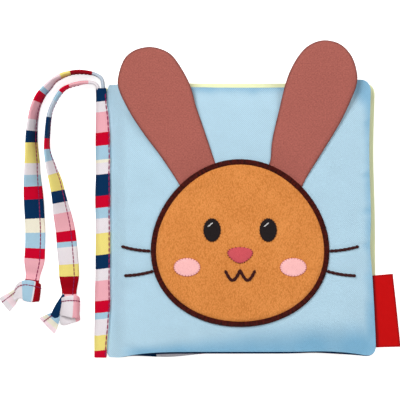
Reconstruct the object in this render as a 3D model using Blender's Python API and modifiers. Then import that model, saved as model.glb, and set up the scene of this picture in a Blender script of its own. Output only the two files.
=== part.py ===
# Crinkle cloth book: three padded leaves sewn into a striped spine binding, a
# padded front cover with an applique bunny head and loose ears, a woven label
# in the side seam and two knotted cloth ties at the head of the spine.
# Metres, +Z up. The closed book lies on its back cover, spine to -X. The origin
# is on the flat underside of the back cover.

from math import atan2, cos, hypot, pi, radians, sin

import bmesh
import bpy
from mathutils import Matrix, Vector

# Sheets and gaps
CLEARANCE = 0.0003      # gap that touching pieces keep
CLOTH = 0.0006          # thickness of every cotton layer
FILM = 0.0003           # crinkle film
HALF = 0.5              # share that halves a size
SMOOTH_ANGLE = radians(40)

# Leaves
LEAF_HEIGHT = 0.138     # along the spine
SPINE_X = -0.0700       # outer face of the spine binding
FORE_EDGE_X = 0.0705    # right-hand seam of the leaves
CORNER_RADIUS = 0.0065
SIDE_PULL = 0.0014      # how far the fore edge is drawn in between its corners
END_PULL = 0.0020       # how far the head and foot edges are drawn in
CROWN_OVER = 0.0028     # rise of the upper cloth over the seam
CROWN_UNDER = 0.0009    # drop of the lower cloth under the seam
REST_CUT = 0.0005       # depth of the flat on the back cover
WADDING_INSET = 0.0046  # wadding and film stop this far inside the seam
WADDING_CORNER = 0.0150 # corner radius of wadding and film
CROWN_POWER = 4.2       # higher is flatter in the middle
EDGE_POWER = 0.52       # lower is rounder at the seam
ROUNDNESS = 8.0         # power of the crown's plan
RING_POWER = 1.7        # packs the rows of the mesh towards the seam
LEAF_CELLS = 14
FILM_CELLS = 6

# Spine
MARGIN_WIDTH = 0.0055   # unpadded stretch between the binding and a leaf
BINDING_WIDTH = 0.0070
BINDING_HEAD_INSET = 0.0030 # the binding stops this far under the head of the leaves
BINDING_CLOTH = 0.0007
BINDING_RADIUS = 0.0020
BINDING_ARC_STEPS = 4
BINDING_ROWS = 6
MARGIN_CLOTH = 0.0012   # two cotton layers stitched flat
MARGIN_TUCK = 0.0046    # how far a margin reaches into the binding
MARGIN_END_INSET = 0.0030
MARGIN_STEPS = 3
MARGIN_ROW_STEPS = 2
PAGE_AXIS_RISE = 0.0003     # hinge line of the page under its highest point
COVER_AXIS_RISE = 0.0010    # hinge line of the cover over its highest point

# Head applique on the front cover
HEAD_WIDTH = 0.0840
HEAD_HEIGHT = 0.0790
HEAD_X = 0.0025
HEAD_Y = -0.0115
HEAD_FULLNESS_SHARE = 0.10   # how much wider the cheeks are than the brow
PLUSH = 0.0010
BORDER_RADIUS = 0.0011
BORDER_POINTS = 48
HEAD_CELLS = 12

# Face, sewn on the plush
FELT = 0.0006
THREAD_RADIUS = 0.0007
EYE_WIDTH = 0.0085
EYE_HEIGHT = 0.0115
EYE_SPREAD_SHARE = 0.167        # of the width of the head
EYE_RISE_SHARE = 0.082          # of the height of the head
NOSE_WIDTH = 0.0120
NOSE_HEIGHT = 0.0080
NOSE_DROP_SHARE = 0.076
NOSE_PINCH_SHARE = 0.35      # how much the nose narrows downwards
CHEEK_WIDTH = 0.0130
CHEEK_HEIGHT = 0.0090
CHEEK_SPREAD_SHARE = 0.3155
CHEEK_DROP_SHARE = 0.152
MOUTH_LOBE_WIDTH = 0.0075
MOUTH_LOBE_DEPTH = 0.0050
MOUTH_DROP_SHARE = 0.171
MOUTH_POINTS = 13
FACE_CELLS = 5
WHISKER_LENGTH = 0.0150
WHISKER_SPACING = 0.0100
WHISKER_DROP_SHARE = 0.114
WHISKER_FAN = radians(9)
WHISKER_POINTS = 4
RIM_STEPS = 200

# Ears
EAR_LENGTH = 0.0660
EAR_WIDTH = 0.0350
EAR_CLOTH = 0.0006
EAR_SEAT = radians(31)       # place of an ear round the head, from the top
EAR_ROOT_TURN = radians(27)  # slant of an ear's sewn root
LEFT_EAR_LEAN = radians(22.8)   # slant of an ear's length
RIGHT_EAR_LEAN = radians(16.4)
EAR_DROOP = radians(0.7)
EAR_CELLS = 8
EAR_FILM_INSET = 0.0030
EAR_LENGTH_SHARES = (0.0, 0.14, 0.32, 0.50, 0.68, 0.82, 0.92, 0.98, 1.0)
EAR_WIDTH_SHARES = (0.60, 0.68, 0.81, 0.94, 1.00, 0.90, 0.66, 0.36, 0.0)

# Label in the fore edge seam
LABEL_LENGTH = 0.0110
LABEL_HEIGHT = 0.0360
LABEL_CLOTH = 0.0008
LABEL_FOOT_RISE = 0.0235     # middle of the label over the foot of the leaves
LABEL_TURN = radians(-2.5)

# Ties
TIE_WIDTH = 0.0100
TIE_CLOTH = 0.0018
TIE_LIFT = 0.0002       # the ties lie this far over the table
KNOT_SEGMENTS = 14
KNOT_RINGS = 9
KNOT_WAIST_SHARE = 0.10
KNOT_ROUNDNESS = 4.0
TIE_STEP = 0.0052       # spacing of the points along a tie
TAIL_STEPS = 3
ROUTE_STEPS = 16        # fine steps between two points of a route
# x, y from the head of the binding, and how far the strap stands on edge: 1 upright, 0 flat
OUTER_TIE = (
    (-0.0661, 0.0008, 1.0), (-0.0670, 0.0050, 1.0), (-0.0712, 0.0074, 0.97),
    (-0.0785, 0.0083, 0.95), (-0.0855, 0.0069, 0.92), (-0.0905, 0.0042, 0.87),
    (-0.0938, 0.0008, 0.80), (-0.0974, -0.0035, 0.77), (-0.1002, -0.0098, 0.74),
    (-0.1016, -0.0180, 0.70), (-0.1021, -0.0260, 0.65), (-0.1018, -0.0350, 0.53),
    (-0.1017, -0.0435, 0.44), (-0.1013, -0.0520, 0.24), (-0.1008, -0.0610, 0.12),
    (-0.1003, -0.0730, 0.05), (-0.1006, -0.0840, 0.0), (-0.1017, -0.0956, 0.0),
)
INNER_TIE = (
    (-0.0690, 0.0011, 1.0), (-0.0708, 0.0027, 1.0), (-0.0755, 0.0030, 0.97),
    (-0.0815, 0.0018, 0.96), (-0.0866, -0.0008, 0.96), (-0.0906, -0.0068, 0.95),
    (-0.0930, -0.0130, 0.94), (-0.0940, -0.0220, 0.91), (-0.0942, -0.0308, 0.88),
    (-0.0923, -0.0390, 0.72), (-0.0899, -0.0470, 0.60), (-0.0882, -0.0550, 0.54),
    (-0.0867, -0.0630, 0.36), (-0.0852, -0.0710, 0.18), (-0.0843, -0.0800, 0.08),
    (-0.0834, -0.0910, 0.0), (-0.0832, -0.1030, 0.0),
)
OUTER_KNOT = (0.0108, 0.0112, 0.0076)   # width, length and height
INNER_KNOT = (0.0120, 0.0128, 0.0080)
KNOT_BOX_SHARE = 0.62                   # 1 is an egg, lower is squarer
KNOT_APPROACH = 0.0075                  # stretch over which a strap climbs to its knot
OUTER_TAIL = (radians(-58), 0.0095)     # turn from the strap's end, and length
INNER_TAIL = (radians(-30), 0.0100)

# Worked out from the sizes above
LEAF_LEFT_X = SPINE_X + BINDING_WIDTH + MARGIN_WIDTH
LEAF_CENTRE_X = (LEAF_LEFT_X + FORE_EDGE_X) * HALF
LEAF_HALF_WIDTH = (FORE_EDGE_X - LEAF_LEFT_X) * HALF
LEAF_HALF_HEIGHT = LEAF_HEIGHT * HALF
SEAM_GAP = CLEARANCE * HALF
SEAM_RISE = SEAM_GAP + CLOTH + CROWN_UNDER
LEAF_THICKNESS = SEAM_RISE + SEAM_GAP + CLOTH + CROWN_OVER
LEAF_PITCH = LEAF_THICKNESS + CLEARANCE
BACK_SEAM = SEAM_RISE
PAGE_SEAM = BACK_SEAM + LEAF_PITCH
COVER_SEAM = PAGE_SEAM + LEAF_PITCH
HINGE_X = LEAF_LEFT_X - MARGIN_WIDTH * HALF
PAGE_HINGE_Z = LEAF_PITCH + LEAF_THICKNESS - PAGE_AXIS_RISE
COVER_HINGE_Z = LEAF_PITCH + LEAF_PITCH + LEAF_THICKNESS + COVER_AXIS_RISE
BINDING_HALF_DEPTH = (MARGIN_CLOTH + CLEARANCE) * HALF + MARGIN_CLOTH + CLEARANCE + BINDING_CLOTH
BINDING_FOOT_Y = -LEAF_HALF_HEIGHT
BINDING_HEAD_Y = LEAF_HALF_HEIGHT - BINDING_HEAD_INSET
LABEL_Y = LABEL_FOOT_RISE - LEAF_HALF_HEIGHT


def clear_scene():
    for obj in list(bpy.data.objects):
        bpy.data.objects.remove(obj, do_unlink=True)


def make_collection(name):
    group = bpy.data.collections.new(name)
    bpy.context.scene.collection.children.link(group)
    return group


def make_material(name, colour, roughness):
    material = bpy.data.materials.new(name)
    material.use_nodes = True
    shader = material.node_tree.nodes["Principled BSDF"]
    shader.inputs["Base Color"].default_value = (*colour, 1.0)
    shader.inputs["Roughness"].default_value = roughness
    shader.inputs["Metallic"].default_value = 0.0
    return material


def make_empty(name, place):
    empty = bpy.data.objects.new(name, None)
    empty.location = place
    guides.objects.link(empty)
    return empty


def keep(obj, material, parent):
    """Colours an object, shades it smooth and hangs it on its body's empty."""
    obj.data.materials.append(material)
    if obj.type == "MESH":
        obj.data.shade_smooth()
        obj.data.set_sharp_from_angle(angle=SMOOTH_ANGLE)
    book.objects.link(obj)
    obj.parent = parent
    obj.matrix_parent_inverse = Matrix.Translation(-parent.location)
    return obj


# Crown of a leaf at a point of its plan: 1 in the middle, 0 at the seam
def crown_share(x, y):
    across = abs(x - LEAF_CENTRE_X) / LEAF_HALF_WIDTH
    along = abs(y) / LEAF_HALF_HEIGHT
    level = min(1.0, (across ** ROUNDNESS + along ** ROUNDNESS) ** (1 / ROUNDNESS))
    return (1.0 - level ** CROWN_POWER) ** EDGE_POWER


def cover_top(x, y):
    """Height of the front cover's outer cloth."""
    return COVER_SEAM + SEAM_GAP + CLOTH + CROWN_OVER * crown_share(x, y)


def level_of(u, v):
    return max(abs(u), abs(v))


def leaf_place(inset, radius):
    """Plan of a leaf from grid coordinates, with its sides drawn in between the corners."""
    def place(u, v):
        level = level_of(u, v)
        if level == 0:
            return LEAF_CENTRE_X, 0
        reach = 1.0 - (1.0 - level) ** RING_POWER
        corner = Vector((LEAF_HALF_WIDTH - inset, LEAF_HALF_HEIGHT - inset))
        core = corner - Vector((radius, radius))
        rim = Vector((corner.x * u / level, corner.y * v / level))
        inner = Vector((max(-core.x, min(core.x, rim.x)), max(-core.y, min(core.y, rim.y))))
        if (rim - inner).length > 0:
            rim = inner + (rim - inner).normalized() * radius
        if rim.x > 0:
            rim.x -= SIDE_PULL * rim.x / corner.x * (1.0 - (rim.y / corner.y) ** 2)
        rim.y -= END_PULL * rim.y / corner.y * (1.0 - (rim.x / corner.x) ** 2)
        return LEAF_CENTRE_X + rim.x * reach, rim.y * reach
    return place


def outline_place(outline):
    """Plan of a cut piece: outline gives the point at a share of the way round."""
    centre = sum((Vector(outline(k / 4)) for k in range(4)), Vector((0, 0))) / 4

    def place(u, v):
        level = level_of(u, v)
        if level == 0:
            return centre.x, centre.y
        a, b = u / level, v / level
        if a >= 1.0:
            way = (b + 1.0) / 8
        elif b >= 1.0:
            way = (3.0 - a) / 8
        elif a <= -1.0:
            way = (5.0 - b) / 8
        else:
            way = (7.0 + a) / 8
        point = centre + (Vector(outline(way % 1.0)) - centre) * level
        return point.x, point.y
    return place


def make_pad(name, cells, place, low, high, material, parent):
    """A closed sheet or pad: a grid laid out by place, between the heights low and high."""
    bm = bmesh.new()
    bmesh.ops.create_grid(bm, x_segments=cells, y_segments=cells, size=1.0)
    under = list(bm.verts)
    made = bmesh.ops.extrude_face_region(bm, geom=list(bm.faces), use_keep_orig=True)
    over = [g for g in made["geom"] if isinstance(g, bmesh.types.BMVert)]
    for verts, height in ((under, low), (over, high)):
        for vert in verts:
            x, y = place(vert.co.x, vert.co.y)
            vert.co = (x, y, height(x, y))
    bmesh.ops.recalc_face_normals(bm, faces=bm.faces)
    mesh = bpy.data.meshes.new(name)
    bm.to_mesh(mesh)
    bm.free()
    return keep(bpy.data.objects.new(name, mesh), material, parent)


def make_tube(name, points, radius, closed, material, parent):
    curve = bpy.data.curves.new(name, "CURVE")
    curve.dimensions = "3D"
    curve.bevel_depth = radius
    curve.bevel_resolution = 1
    curve.use_fill_caps = not closed
    spline = curve.splines.new("POLY")
    spline.points.add(len(points) - 1)
    for point, place in zip(spline.points, points):
        point.co = (*place, 1.0)
    spline.use_cyclic_u = closed
    return keep(bpy.data.objects.new(name, curve), material, parent)


def make_leaf(prefix, seam, over_cloth, under_cloth, parent, rests=False):
    """Two crowned cloths that meet at the seam, with wadding and crinkle film between."""
    under_crown = CROWN_UNDER + (REST_CUT if rests else 0)

    def over(x, y):
        return seam + SEAM_GAP + CROWN_OVER * crown_share(x, y)

    def under(x, y):
        return seam - SEAM_GAP - min(CROWN_UNDER, under_crown * crown_share(x, y))

    whole, inner = leaf_place(0, CORNER_RADIUS), leaf_place(WADDING_INSET, WADDING_CORNER)
    make_pad(prefix + "_" + over_cloth[0], LEAF_CELLS, whole, over,
             lambda x, y: over(x, y) + CLOTH, over_cloth[1], parent)
    make_pad(prefix + "_" + under_cloth[0], LEAF_CELLS, whole,
             lambda x, y: under(x, y) - CLOTH, under, under_cloth[1], parent)
    film_top = seam + FILM * HALF
    make_pad(prefix + "_crinkle_film", FILM_CELLS, inner,
             lambda x, y: film_top - FILM, lambda x, y: film_top, film, parent)
    make_pad(prefix + "_wadding", LEAF_CELLS, inner, lambda x, y: film_top + CLEARANCE,
             lambda x, y: over(x, y) - CLEARANCE, wadding, parent)


def make_spine():
    """The striped cloth folded round the margins of all three leaves."""
    back = SPINE_X + BINDING_RADIUS
    reach = SPINE_X + BINDING_WIDTH
    low = PAGE_SEAM - BINDING_HALF_DEPTH
    high = PAGE_SEAM + BINDING_HALF_DEPTH
    profile = [(reach, low)]
    for centre, start in ((low + BINDING_RADIUS, -pi / 2), (high - BINDING_RADIUS, -pi)):
        for step in range(BINDING_ARC_STEPS + 1):
            turn = start - step * pi / 2 / BINDING_ARC_STEPS
            profile.append((back + BINDING_RADIUS * cos(turn), centre + BINDING_RADIUS * sin(turn)))
    profile.append((reach, high))
    make_strip("spine_binding", profile, BINDING_FOOT_Y, BINDING_HEAD_Y, BINDING_ROWS,
               BINDING_CLOTH, 1.0, striped, root)


def make_strip(name, profile, foot, head, rows, thickness, offset, material, parent):
    """Cloth that follows an open profile in X and Z, from foot to head along Y."""
    bm = bmesh.new()
    lines = []
    for row in range(rows + 1):
        y = foot + (head - foot) * row / rows
        lines.append([bm.verts.new((x, y, z)) for x, z in profile])
    for near, far in zip(lines, lines[1:]):
        for k in range(len(profile) - 1):
            bm.faces.new((near[k], near[k + 1], far[k + 1], far[k]))
    mesh = bpy.data.meshes.new(name)
    bm.to_mesh(mesh)
    bm.free()
    obj = keep(bpy.data.objects.new(name, mesh), material, parent)
    shell = obj.modifiers.new("Thickness", "SOLIDIFY")
    shell.thickness = thickness
    shell.offset = offset
    shell.use_even_offset = True
    return obj


def make_margin(name, layer, seam, material, parent):
    """The unpadded stretch of a leaf, from inside the binding to the leaf's seam."""
    mouth = SPINE_X + BINDING_WIDTH
    level = PAGE_SEAM + layer * (MARGIN_CLOTH + CLEARANCE)
    profile = [(mouth - MARGIN_TUCK, level), (mouth, level)]
    run = LEAF_LEFT_X - CLEARANCE - mouth
    for step in range(1, MARGIN_STEPS + 1):
        share = step / MARGIN_STEPS
        profile.append((mouth + run * share, level + (seam - level) * (1 - cos(pi * share)) * HALF))
    length = LEAF_HALF_HEIGHT - MARGIN_END_INSET
    make_strip(name, profile, -length, length, MARGIN_ROW_STEPS, MARGIN_CLOTH, 0, material, parent)


def tie_section():
    """Flat strap section that the ties are swept with."""
    curve = bpy.data.curves.new("tie_section", "CURVE")
    curve.dimensions = "2D"
    spline = curve.splines.new("POLY")
    wide, flat, thick = TIE_WIDTH * HALF, (TIE_WIDTH - TIE_CLOTH) * HALF, TIE_CLOTH * HALF
    corners = ((wide, 0), (flat, -thick), (-flat, -thick), (-wide, 0), (-flat, thick), (flat, thick))
    spline.points.add(len(corners) - 1)
    for point, (x, y) in zip(spline.points, corners):
        point.co = (x, y, 0, 1.0)
    spline.use_cyclic_u = True
    section = bpy.data.objects.new("tie_section", curve)
    section.hide_render = True
    section.display_type = "WIRE"
    guides.objects.link(section)
    return section


def smooth_route(route, step):
    """Points step apart along a smooth curve through the route's own points."""
    points = [Vector((x, BINDING_HEAD_Y + y, upright)) for x, y, upright in route]
    points = [points[0] * 2 - points[1]] + points + [points[-1] * 2 - points[-2]]
    fine = []
    for a, b, c, d in zip(points, points[1:], points[2:], points[3:]):
        for k in range(ROUTE_STEPS):
            t = k / ROUTE_STEPS
            fine.append(((b * 2) + (c - a) * t + (a * 2 - b * 5 + c * 4 - d) * t * t
                         + (b * 3 - a - c * 3 + d) * t ** 3) * HALF)
    fine.append(points[-2])
    along = [0.0]
    for a, b in zip(fine, fine[1:]):
        along.append(along[-1] + hypot(b.x - a.x, b.y - a.y))
    count = max(2, round(along[-1] / step))
    out, k = [], 0
    for n in range(count + 1):
        want = along[-1] * n / count
        while k < len(along) - 2 and along[k + 1] < want:
            k += 1
        share = (want - along[k]) / (along[k + 1] - along[k])
        out.append(fine[k].lerp(fine[k + 1], min(1.0, share)))
    return out


def make_tie(name, places, section, climb_start=0, climb_end=0):
    """A sewn strap that stands on its edge in the bends and lies flat at its end."""
    curve = bpy.data.curves.new(name, "CURVE")
    curve.dimensions = "3D"
    curve.twist_mode = "Z_UP"
    curve.bevel_mode = "OBJECT"
    curve.bevel_object = section
    curve.use_fill_caps = True
    spline = curve.splines.new("POLY")
    spline.points.add(len(places) - 1)
    for point, place in zip(spline.points, places):
        tilt = max(0.0, min(1.0, place.z)) * pi / 2
        rise = TIE_LIFT + (TIE_WIDTH * sin(tilt) + TIE_CLOTH * cos(tilt)) * HALF
        for end, climb in ((places[0], climb_start), (places[-1], climb_end)):
            near = max(0.0, 1.0 - hypot(place.x - end.x, place.y - end.y) / KNOT_APPROACH)
            rise += climb * near * near * (3 - 2 * near)
        point.co = (place.x, place.y, rise, 1.0)
        point.tilt = tilt
    return keep(bpy.data.objects.new(name, curve), striped, root)


def squared(value, share):
    """A coordinate of the unit ball, pushed out towards the faces of its box."""
    return (1 if value > 0 else -1) * (abs(value) ** share)


def make_knot(name, end, way, width, length, height):
    """The overhand knot of a tie, drawn tight round its waist, seated on the strap's end."""
    bm = bmesh.new()
    bmesh.ops.create_uvsphere(bm, u_segments=KNOT_SEGMENTS, v_segments=KNOT_RINGS, radius=1.0)
    centre = end + way * (length * HALF + CLEARANCE * 2)
    across = Vector((way.y, -way.x))
    for vert in bm.verts:
        a, b, c = (squared(value, KNOT_BOX_SHARE) for value in vert.co)
        size = max(1.0, sum(abs(n) ** KNOT_ROUNDNESS for n in (a, b, c)) ** (1 / KNOT_ROUNDNESS))
        waist = 1.0 - KNOT_WAIST_SHARE * (1.0 + cos(2 * pi * (b + a * HALF)))
        flat = centre + across * (a / size * width * HALF * waist) + way * (b / size * length * HALF)
        vert.co = (flat.x, flat.y, TIE_LIFT + (c / size * waist + 1.0) * height * HALF)
    mesh = bpy.data.meshes.new(name)
    bm.to_mesh(mesh)
    bm.free()
    return centre, keep(bpy.data.objects.new(name, mesh), striped, root)


def make_ties():
    section = tie_section()
    for side, route, knot, (turn, length) in (("outer", OUTER_TIE, OUTER_KNOT, OUTER_TAIL),
                                              ("inner", INNER_TIE, INNER_KNOT, INNER_TAIL)):
        climb = (knot[2] - TIE_CLOTH) * HALF
        places = smooth_route(route, TIE_STEP)
        make_tie(side + "_tie", places, section, climb_end=climb)
        end = places[-1].to_2d()
        way = (end - places[-2].to_2d()).normalized()
        centre, body = make_knot(side + "_tie_knot", end, way, *knot)
        out = way.copy()
        out.rotate(Matrix.Rotation(turn, 2))
        reach = max((v.co.to_2d() - centre).dot(out) for v in body.data.vertices) + CLEARANCE * 2
        tail = [(centre + out * (reach + length * k / TAIL_STEPS)).to_3d()
                for k in range(TAIL_STEPS + 1)]
        make_tie(side + "_tie_tail", tail, section, climb_start=climb)


def head_outline(grow):
    """Rounded head, fuller at the cheeks, grown outwards by a width."""
    def outline(way):
        turn = 2 * pi * way
        full = 1.0 + HEAD_FULLNESS_SHARE * cos(turn)
        return (HEAD_X - (HEAD_WIDTH * HALF + grow) * sin(turn) * full,
                HEAD_Y - (HEAD_HEIGHT * HALF + grow) * cos(turn))
    return outline


def oval(x, y, width, height):
    def outline(way):
        turn = 2 * pi * way
        return x + width * HALF * cos(turn), y + height * HALF * sin(turn)
    return outline


def nose_outline(way):
    """Rounded triangle, point down."""
    turn = 2 * pi * way
    pinch = 1.0 + NOSE_PINCH_SHARE * sin(turn)
    return (HEAD_X + NOSE_WIDTH * HALF * cos(turn) * pinch,
            HEAD_Y - HEAD_HEIGHT * NOSE_DROP_SHARE + NOSE_HEIGHT * HALF * sin(turn))


def make_patch(name, cells, outline, lift, thickness, material):
    """A piece sewn on the front cover, lift above its cloth and following its crown."""
    return make_pad(name, cells, outline_place(outline), lambda x, y: cover_top(x, y) + lift,
                    lambda x, y: cover_top(x, y) + lift + thickness, material, cover)


def make_head():
    make_patch("head_patch", HEAD_CELLS, head_outline(0), CLEARANCE, PLUSH, plush)
    ring = head_outline(CLEARANCE + BORDER_RADIUS)
    points = []
    for k in range(BORDER_POINTS):
        x, y = ring(k / BORDER_POINTS)
        points.append((x, y, cover_top(x, y) + CLEARANCE + BORDER_RADIUS))
    make_tube("head_border", points, BORDER_RADIUS, True, thread, cover)


def make_face():
    lift = CLEARANCE + PLUSH + CLEARANCE
    for name, side in (("left", -1), ("right", 1)):
        make_patch(name + "_eye", FACE_CELLS,
                   oval(HEAD_X + side * HEAD_WIDTH * EYE_SPREAD_SHARE,
                        HEAD_Y + HEAD_HEIGHT * EYE_RISE_SHARE, EYE_WIDTH, EYE_HEIGHT),
                   lift, FELT, dark)
        make_patch(name + "_cheek", FACE_CELLS,
                   oval(HEAD_X + side * HEAD_WIDTH * CHEEK_SPREAD_SHARE,
                        HEAD_Y - HEAD_HEIGHT * CHEEK_DROP_SHARE, CHEEK_WIDTH, CHEEK_HEIGHT),
                   lift, FELT, blush)
    make_patch("nose", FACE_CELLS, nose_outline, lift, FELT, nose_felt)
    lobes = []
    for k in range(MOUTH_POINTS):
        share = 2 * k / (MOUTH_POINTS - 1) - 1
        x = HEAD_X + share * MOUTH_LOBE_WIDTH
        y = HEAD_Y - HEAD_HEIGHT * MOUTH_DROP_SHARE - MOUTH_LOBE_DEPTH * sin(pi * abs(share))
        lobes.append((x, y, cover_top(x, y) + lift + THREAD_RADIUS))
    make_tube("mouth", lobes, THREAD_RADIUS, False, thread, cover)


def make_whiskers():
    rim = head_outline(CLEARANCE + BORDER_RADIUS * 2 + CLEARANCE + THREAD_RADIUS)
    for name, side in (("left", -1), ("right", 1)):
        for place, step in (("upper", HALF), ("lower", -HALF)):
            y = HEAD_Y - HEAD_HEIGHT * WHISKER_DROP_SHARE + step * WHISKER_SPACING
            x = max(abs(rx - HEAD_X) for rx, ry in (rim(k / RIM_STEPS) for k in range(RIM_STEPS))
                    if abs(ry - y) < WHISKER_SPACING * HALF)
            points = []
            for k in range(WHISKER_POINTS):
                share = k / (WHISKER_POINTS - 1)
                turn = 2 * step * WHISKER_FAN
                wx = HEAD_X + side * (x + WHISKER_LENGTH * share * cos(turn))
                wy = y + WHISKER_LENGTH * share * sin(turn)
                points.append((wx, wy, cover_top(wx, wy) + CLEARANCE + THREAD_RADIUS))
            make_tube(name + "_" + place + "_whisker", points, THREAD_RADIUS, False, thread, cover)


def ear_outline(inset, lean):
    """Ear in its own plane, root at the origin: width across, length outwards."""
    stations = list(zip(EAR_LENGTH_SHARES, EAR_WIDTH_SHARES))
    length = EAR_LENGTH - inset * 2
    side = [(EAR_WIDTH * HALF * wide, inset + length * far) for far, wide in stations]
    side = [(max(0.0, x - inset), y) for x, y in side]
    loop = side + [(-x, y) for x, y in reversed(side[:-1])]
    skew = sin(EAR_ROOT_TURN - lean)
    loop = [(x + y * skew, y) for x, y in loop]
    along = [0.0]
    closed = loop + loop[:1]
    for a, b in zip(closed, closed[1:]):
        along.append(along[-1] + hypot(b[0] - a[0], b[1] - a[1]))

    def outline(way):
        want = along[-1] * (way % 1.0)
        for k, (a, b) in enumerate(zip(closed, closed[1:])):
            if along[k + 1] >= want:
                share = (want - along[k]) / max(along[k + 1] - along[k], CLEARANCE)
                return a[0] + (b[0] - a[0]) * share, a[1] + (b[1] - a[1]) * share
        return closed[-1]
    return outline


def make_ears():
    seat = head_outline(CLEARANCE + BORDER_RADIUS * 2 + CLEARANCE)
    for name, side, lean in (("left", -1, LEFT_EAR_LEAN), ("right", 1, RIGHT_EAR_LEAN)):
        x, y = seat(HALF + side * EAR_SEAT / (2 * pi))
        low = cover_top(x, y) + CLEARANCE
        body = make_empty(name + "_ear_hinge", (x, y, low + EAR_CLOTH * 2 + FILM + CLEARANCE * 2))
        layers = (
            ("back_cloth", 0, EAR_CLOTH, 0, ear_cotton),
            ("crinkle_film", EAR_CLOTH + CLEARANCE, FILM, EAR_FILM_INSET, film),
            ("front_cloth", EAR_CLOTH + FILM + CLEARANCE * 2, EAR_CLOTH, 0, ear_cotton),
        )
        turn = Matrix.Rotation(side * -EAR_ROOT_TURN, 4, "Z") @ Matrix.Rotation(-EAR_DROOP, 4, "X")
        for layer, lift, thickness, inset, material in layers:
            outline = ear_outline(inset, lean)
            mirrored = (lambda way: (side * -outline(way)[0], outline(way)[1]))
            pad = make_pad(name + "_ear_" + layer, EAR_CELLS, outline_place(mirrored),
                           lambda a, b: lift, lambda a, b: lift + thickness, material, body)
            pad.data.transform(Matrix.Translation((x, y, low)) @ turn)


def make_label():
    lift = COVER_SEAM - LABEL_CLOTH * HALF
    ends = (LABEL_Y - LABEL_HEIGHT * HALF, LABEL_Y + LABEL_HEIGHT * HALF)
    slant = sin(-LABEL_TURN)
    edge = max(leaf_edge_x(y) + (y - LABEL_Y) * slant for y in ends) + CLEARANCE
    body = make_empty("label_hinge", (edge, LABEL_Y, lift + LABEL_CLOTH))
    turn = Matrix.Rotation(-LABEL_TURN, 4, "Z")
    bm = bmesh.new()
    bmesh.ops.create_cube(bm, size=1.0)
    for vert in bm.verts:
        vert.co = (LABEL_LENGTH * (vert.co.x + HALF), LABEL_HEIGHT * vert.co.y,
                   LABEL_CLOTH * (vert.co.z + HALF))
    mesh = bpy.data.meshes.new("label_tab")
    bm.to_mesh(mesh)
    bm.free()
    mesh.transform(Matrix.Translation((edge, LABEL_Y, lift)) @ turn)
    keep(bpy.data.objects.new("label_tab", mesh), woven, body)


def leaf_edge_x(y):
    """Where the drawn-in fore edge lies at a height of the leaf."""
    return FORE_EDGE_X - SIDE_PULL * (1.0 - (y / LEAF_HALF_HEIGHT) ** 2)


clear_scene()
book = make_collection("crinkle_cloth_book")
guides = make_collection("guides")
guides.hide_render = True

striped = make_material("striped_cotton", (0.80, 0.62, 0.66), 0.9)
blue = make_material("light_blue_cotton", (0.45, 0.66, 0.79), 0.9)
navy = make_material("navy_cotton", (0.012, 0.045, 0.110), 0.9)
lime = make_material("lime_cotton", (0.68, 0.72, 0.24), 0.9)
plush = make_material("tan_plush", (0.70, 0.27, 0.07), 1.0)
thread = make_material("dark_maroon_thread", (0.045, 0.006, 0.006), 0.6)
dark = make_material("dark_felt", (0.02, 0.012, 0.012), 0.9)
blush = make_material("pink_felt", (0.85, 0.45, 0.45), 0.9)
nose_felt = make_material("rose_felt", (0.55, 0.08, 0.10), 0.9)
ear_cotton = make_material("rose_brown_cotton", (0.40, 0.117, 0.091), 0.9)
woven = make_material("red_woven_label", (0.60, 0.012, 0.015), 0.7)
wadding = make_material("white_wadding", (0.85, 0.85, 0.85), 1.0)
film = make_material("crinkle_film", (0.80, 0.82, 0.85), 0.3)

root = make_empty("back_cover", (0, 0, 0))
page = make_empty("page_hinge", (HINGE_X, 0, PAGE_HINGE_Z))
cover = make_empty("cover_hinge", (HINGE_X, 0, COVER_HINGE_Z))

make_leaf("back_cover", BACK_SEAM, ("inner_cloth", navy), ("outer_cloth", striped), root, rests=True)
make_leaf("page", PAGE_SEAM, ("front_cloth", lime), ("back_cloth", lime), page)
make_leaf("front_cover", COVER_SEAM, ("outer_cloth", blue), ("inner_cloth", navy), cover)
make_spine()
make_margin("back_cover_margin", -1, BACK_SEAM, navy, root)
make_margin("page_margin", 0, PAGE_SEAM, lime, root)
make_margin("front_cover_margin", 1, COVER_SEAM, blue, root)
make_ties()
make_head()
make_face()
make_whiskers()
make_ears()
make_label()
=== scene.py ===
import math

import bpy
import bmesh
from mathutils import Matrix, Vector, noise
from mathutils.bvhtree import BVHTree
from mathutils.kdtree import KDTree


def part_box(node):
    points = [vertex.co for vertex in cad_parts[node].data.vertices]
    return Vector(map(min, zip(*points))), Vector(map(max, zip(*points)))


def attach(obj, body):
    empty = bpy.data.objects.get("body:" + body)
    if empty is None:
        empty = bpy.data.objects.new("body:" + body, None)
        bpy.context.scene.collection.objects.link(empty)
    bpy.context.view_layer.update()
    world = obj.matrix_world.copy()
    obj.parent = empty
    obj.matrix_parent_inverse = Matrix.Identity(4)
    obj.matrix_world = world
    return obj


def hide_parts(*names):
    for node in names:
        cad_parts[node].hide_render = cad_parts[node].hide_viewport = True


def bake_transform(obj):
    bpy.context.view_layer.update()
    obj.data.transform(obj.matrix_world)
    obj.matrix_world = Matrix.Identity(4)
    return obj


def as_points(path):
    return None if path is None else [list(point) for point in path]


# Looks of a closed crinkle cloth book that lies on its back cover, spine to -X and head to +Y.
# Everything is in metres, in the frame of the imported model.
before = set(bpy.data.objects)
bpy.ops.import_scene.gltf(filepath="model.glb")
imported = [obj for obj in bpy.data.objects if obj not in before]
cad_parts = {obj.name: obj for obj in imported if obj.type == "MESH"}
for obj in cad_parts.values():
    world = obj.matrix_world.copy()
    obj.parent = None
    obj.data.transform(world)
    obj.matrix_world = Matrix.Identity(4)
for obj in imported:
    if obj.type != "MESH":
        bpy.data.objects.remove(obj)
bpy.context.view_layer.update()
print("frame loaded with", len(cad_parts), "solids")

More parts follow.
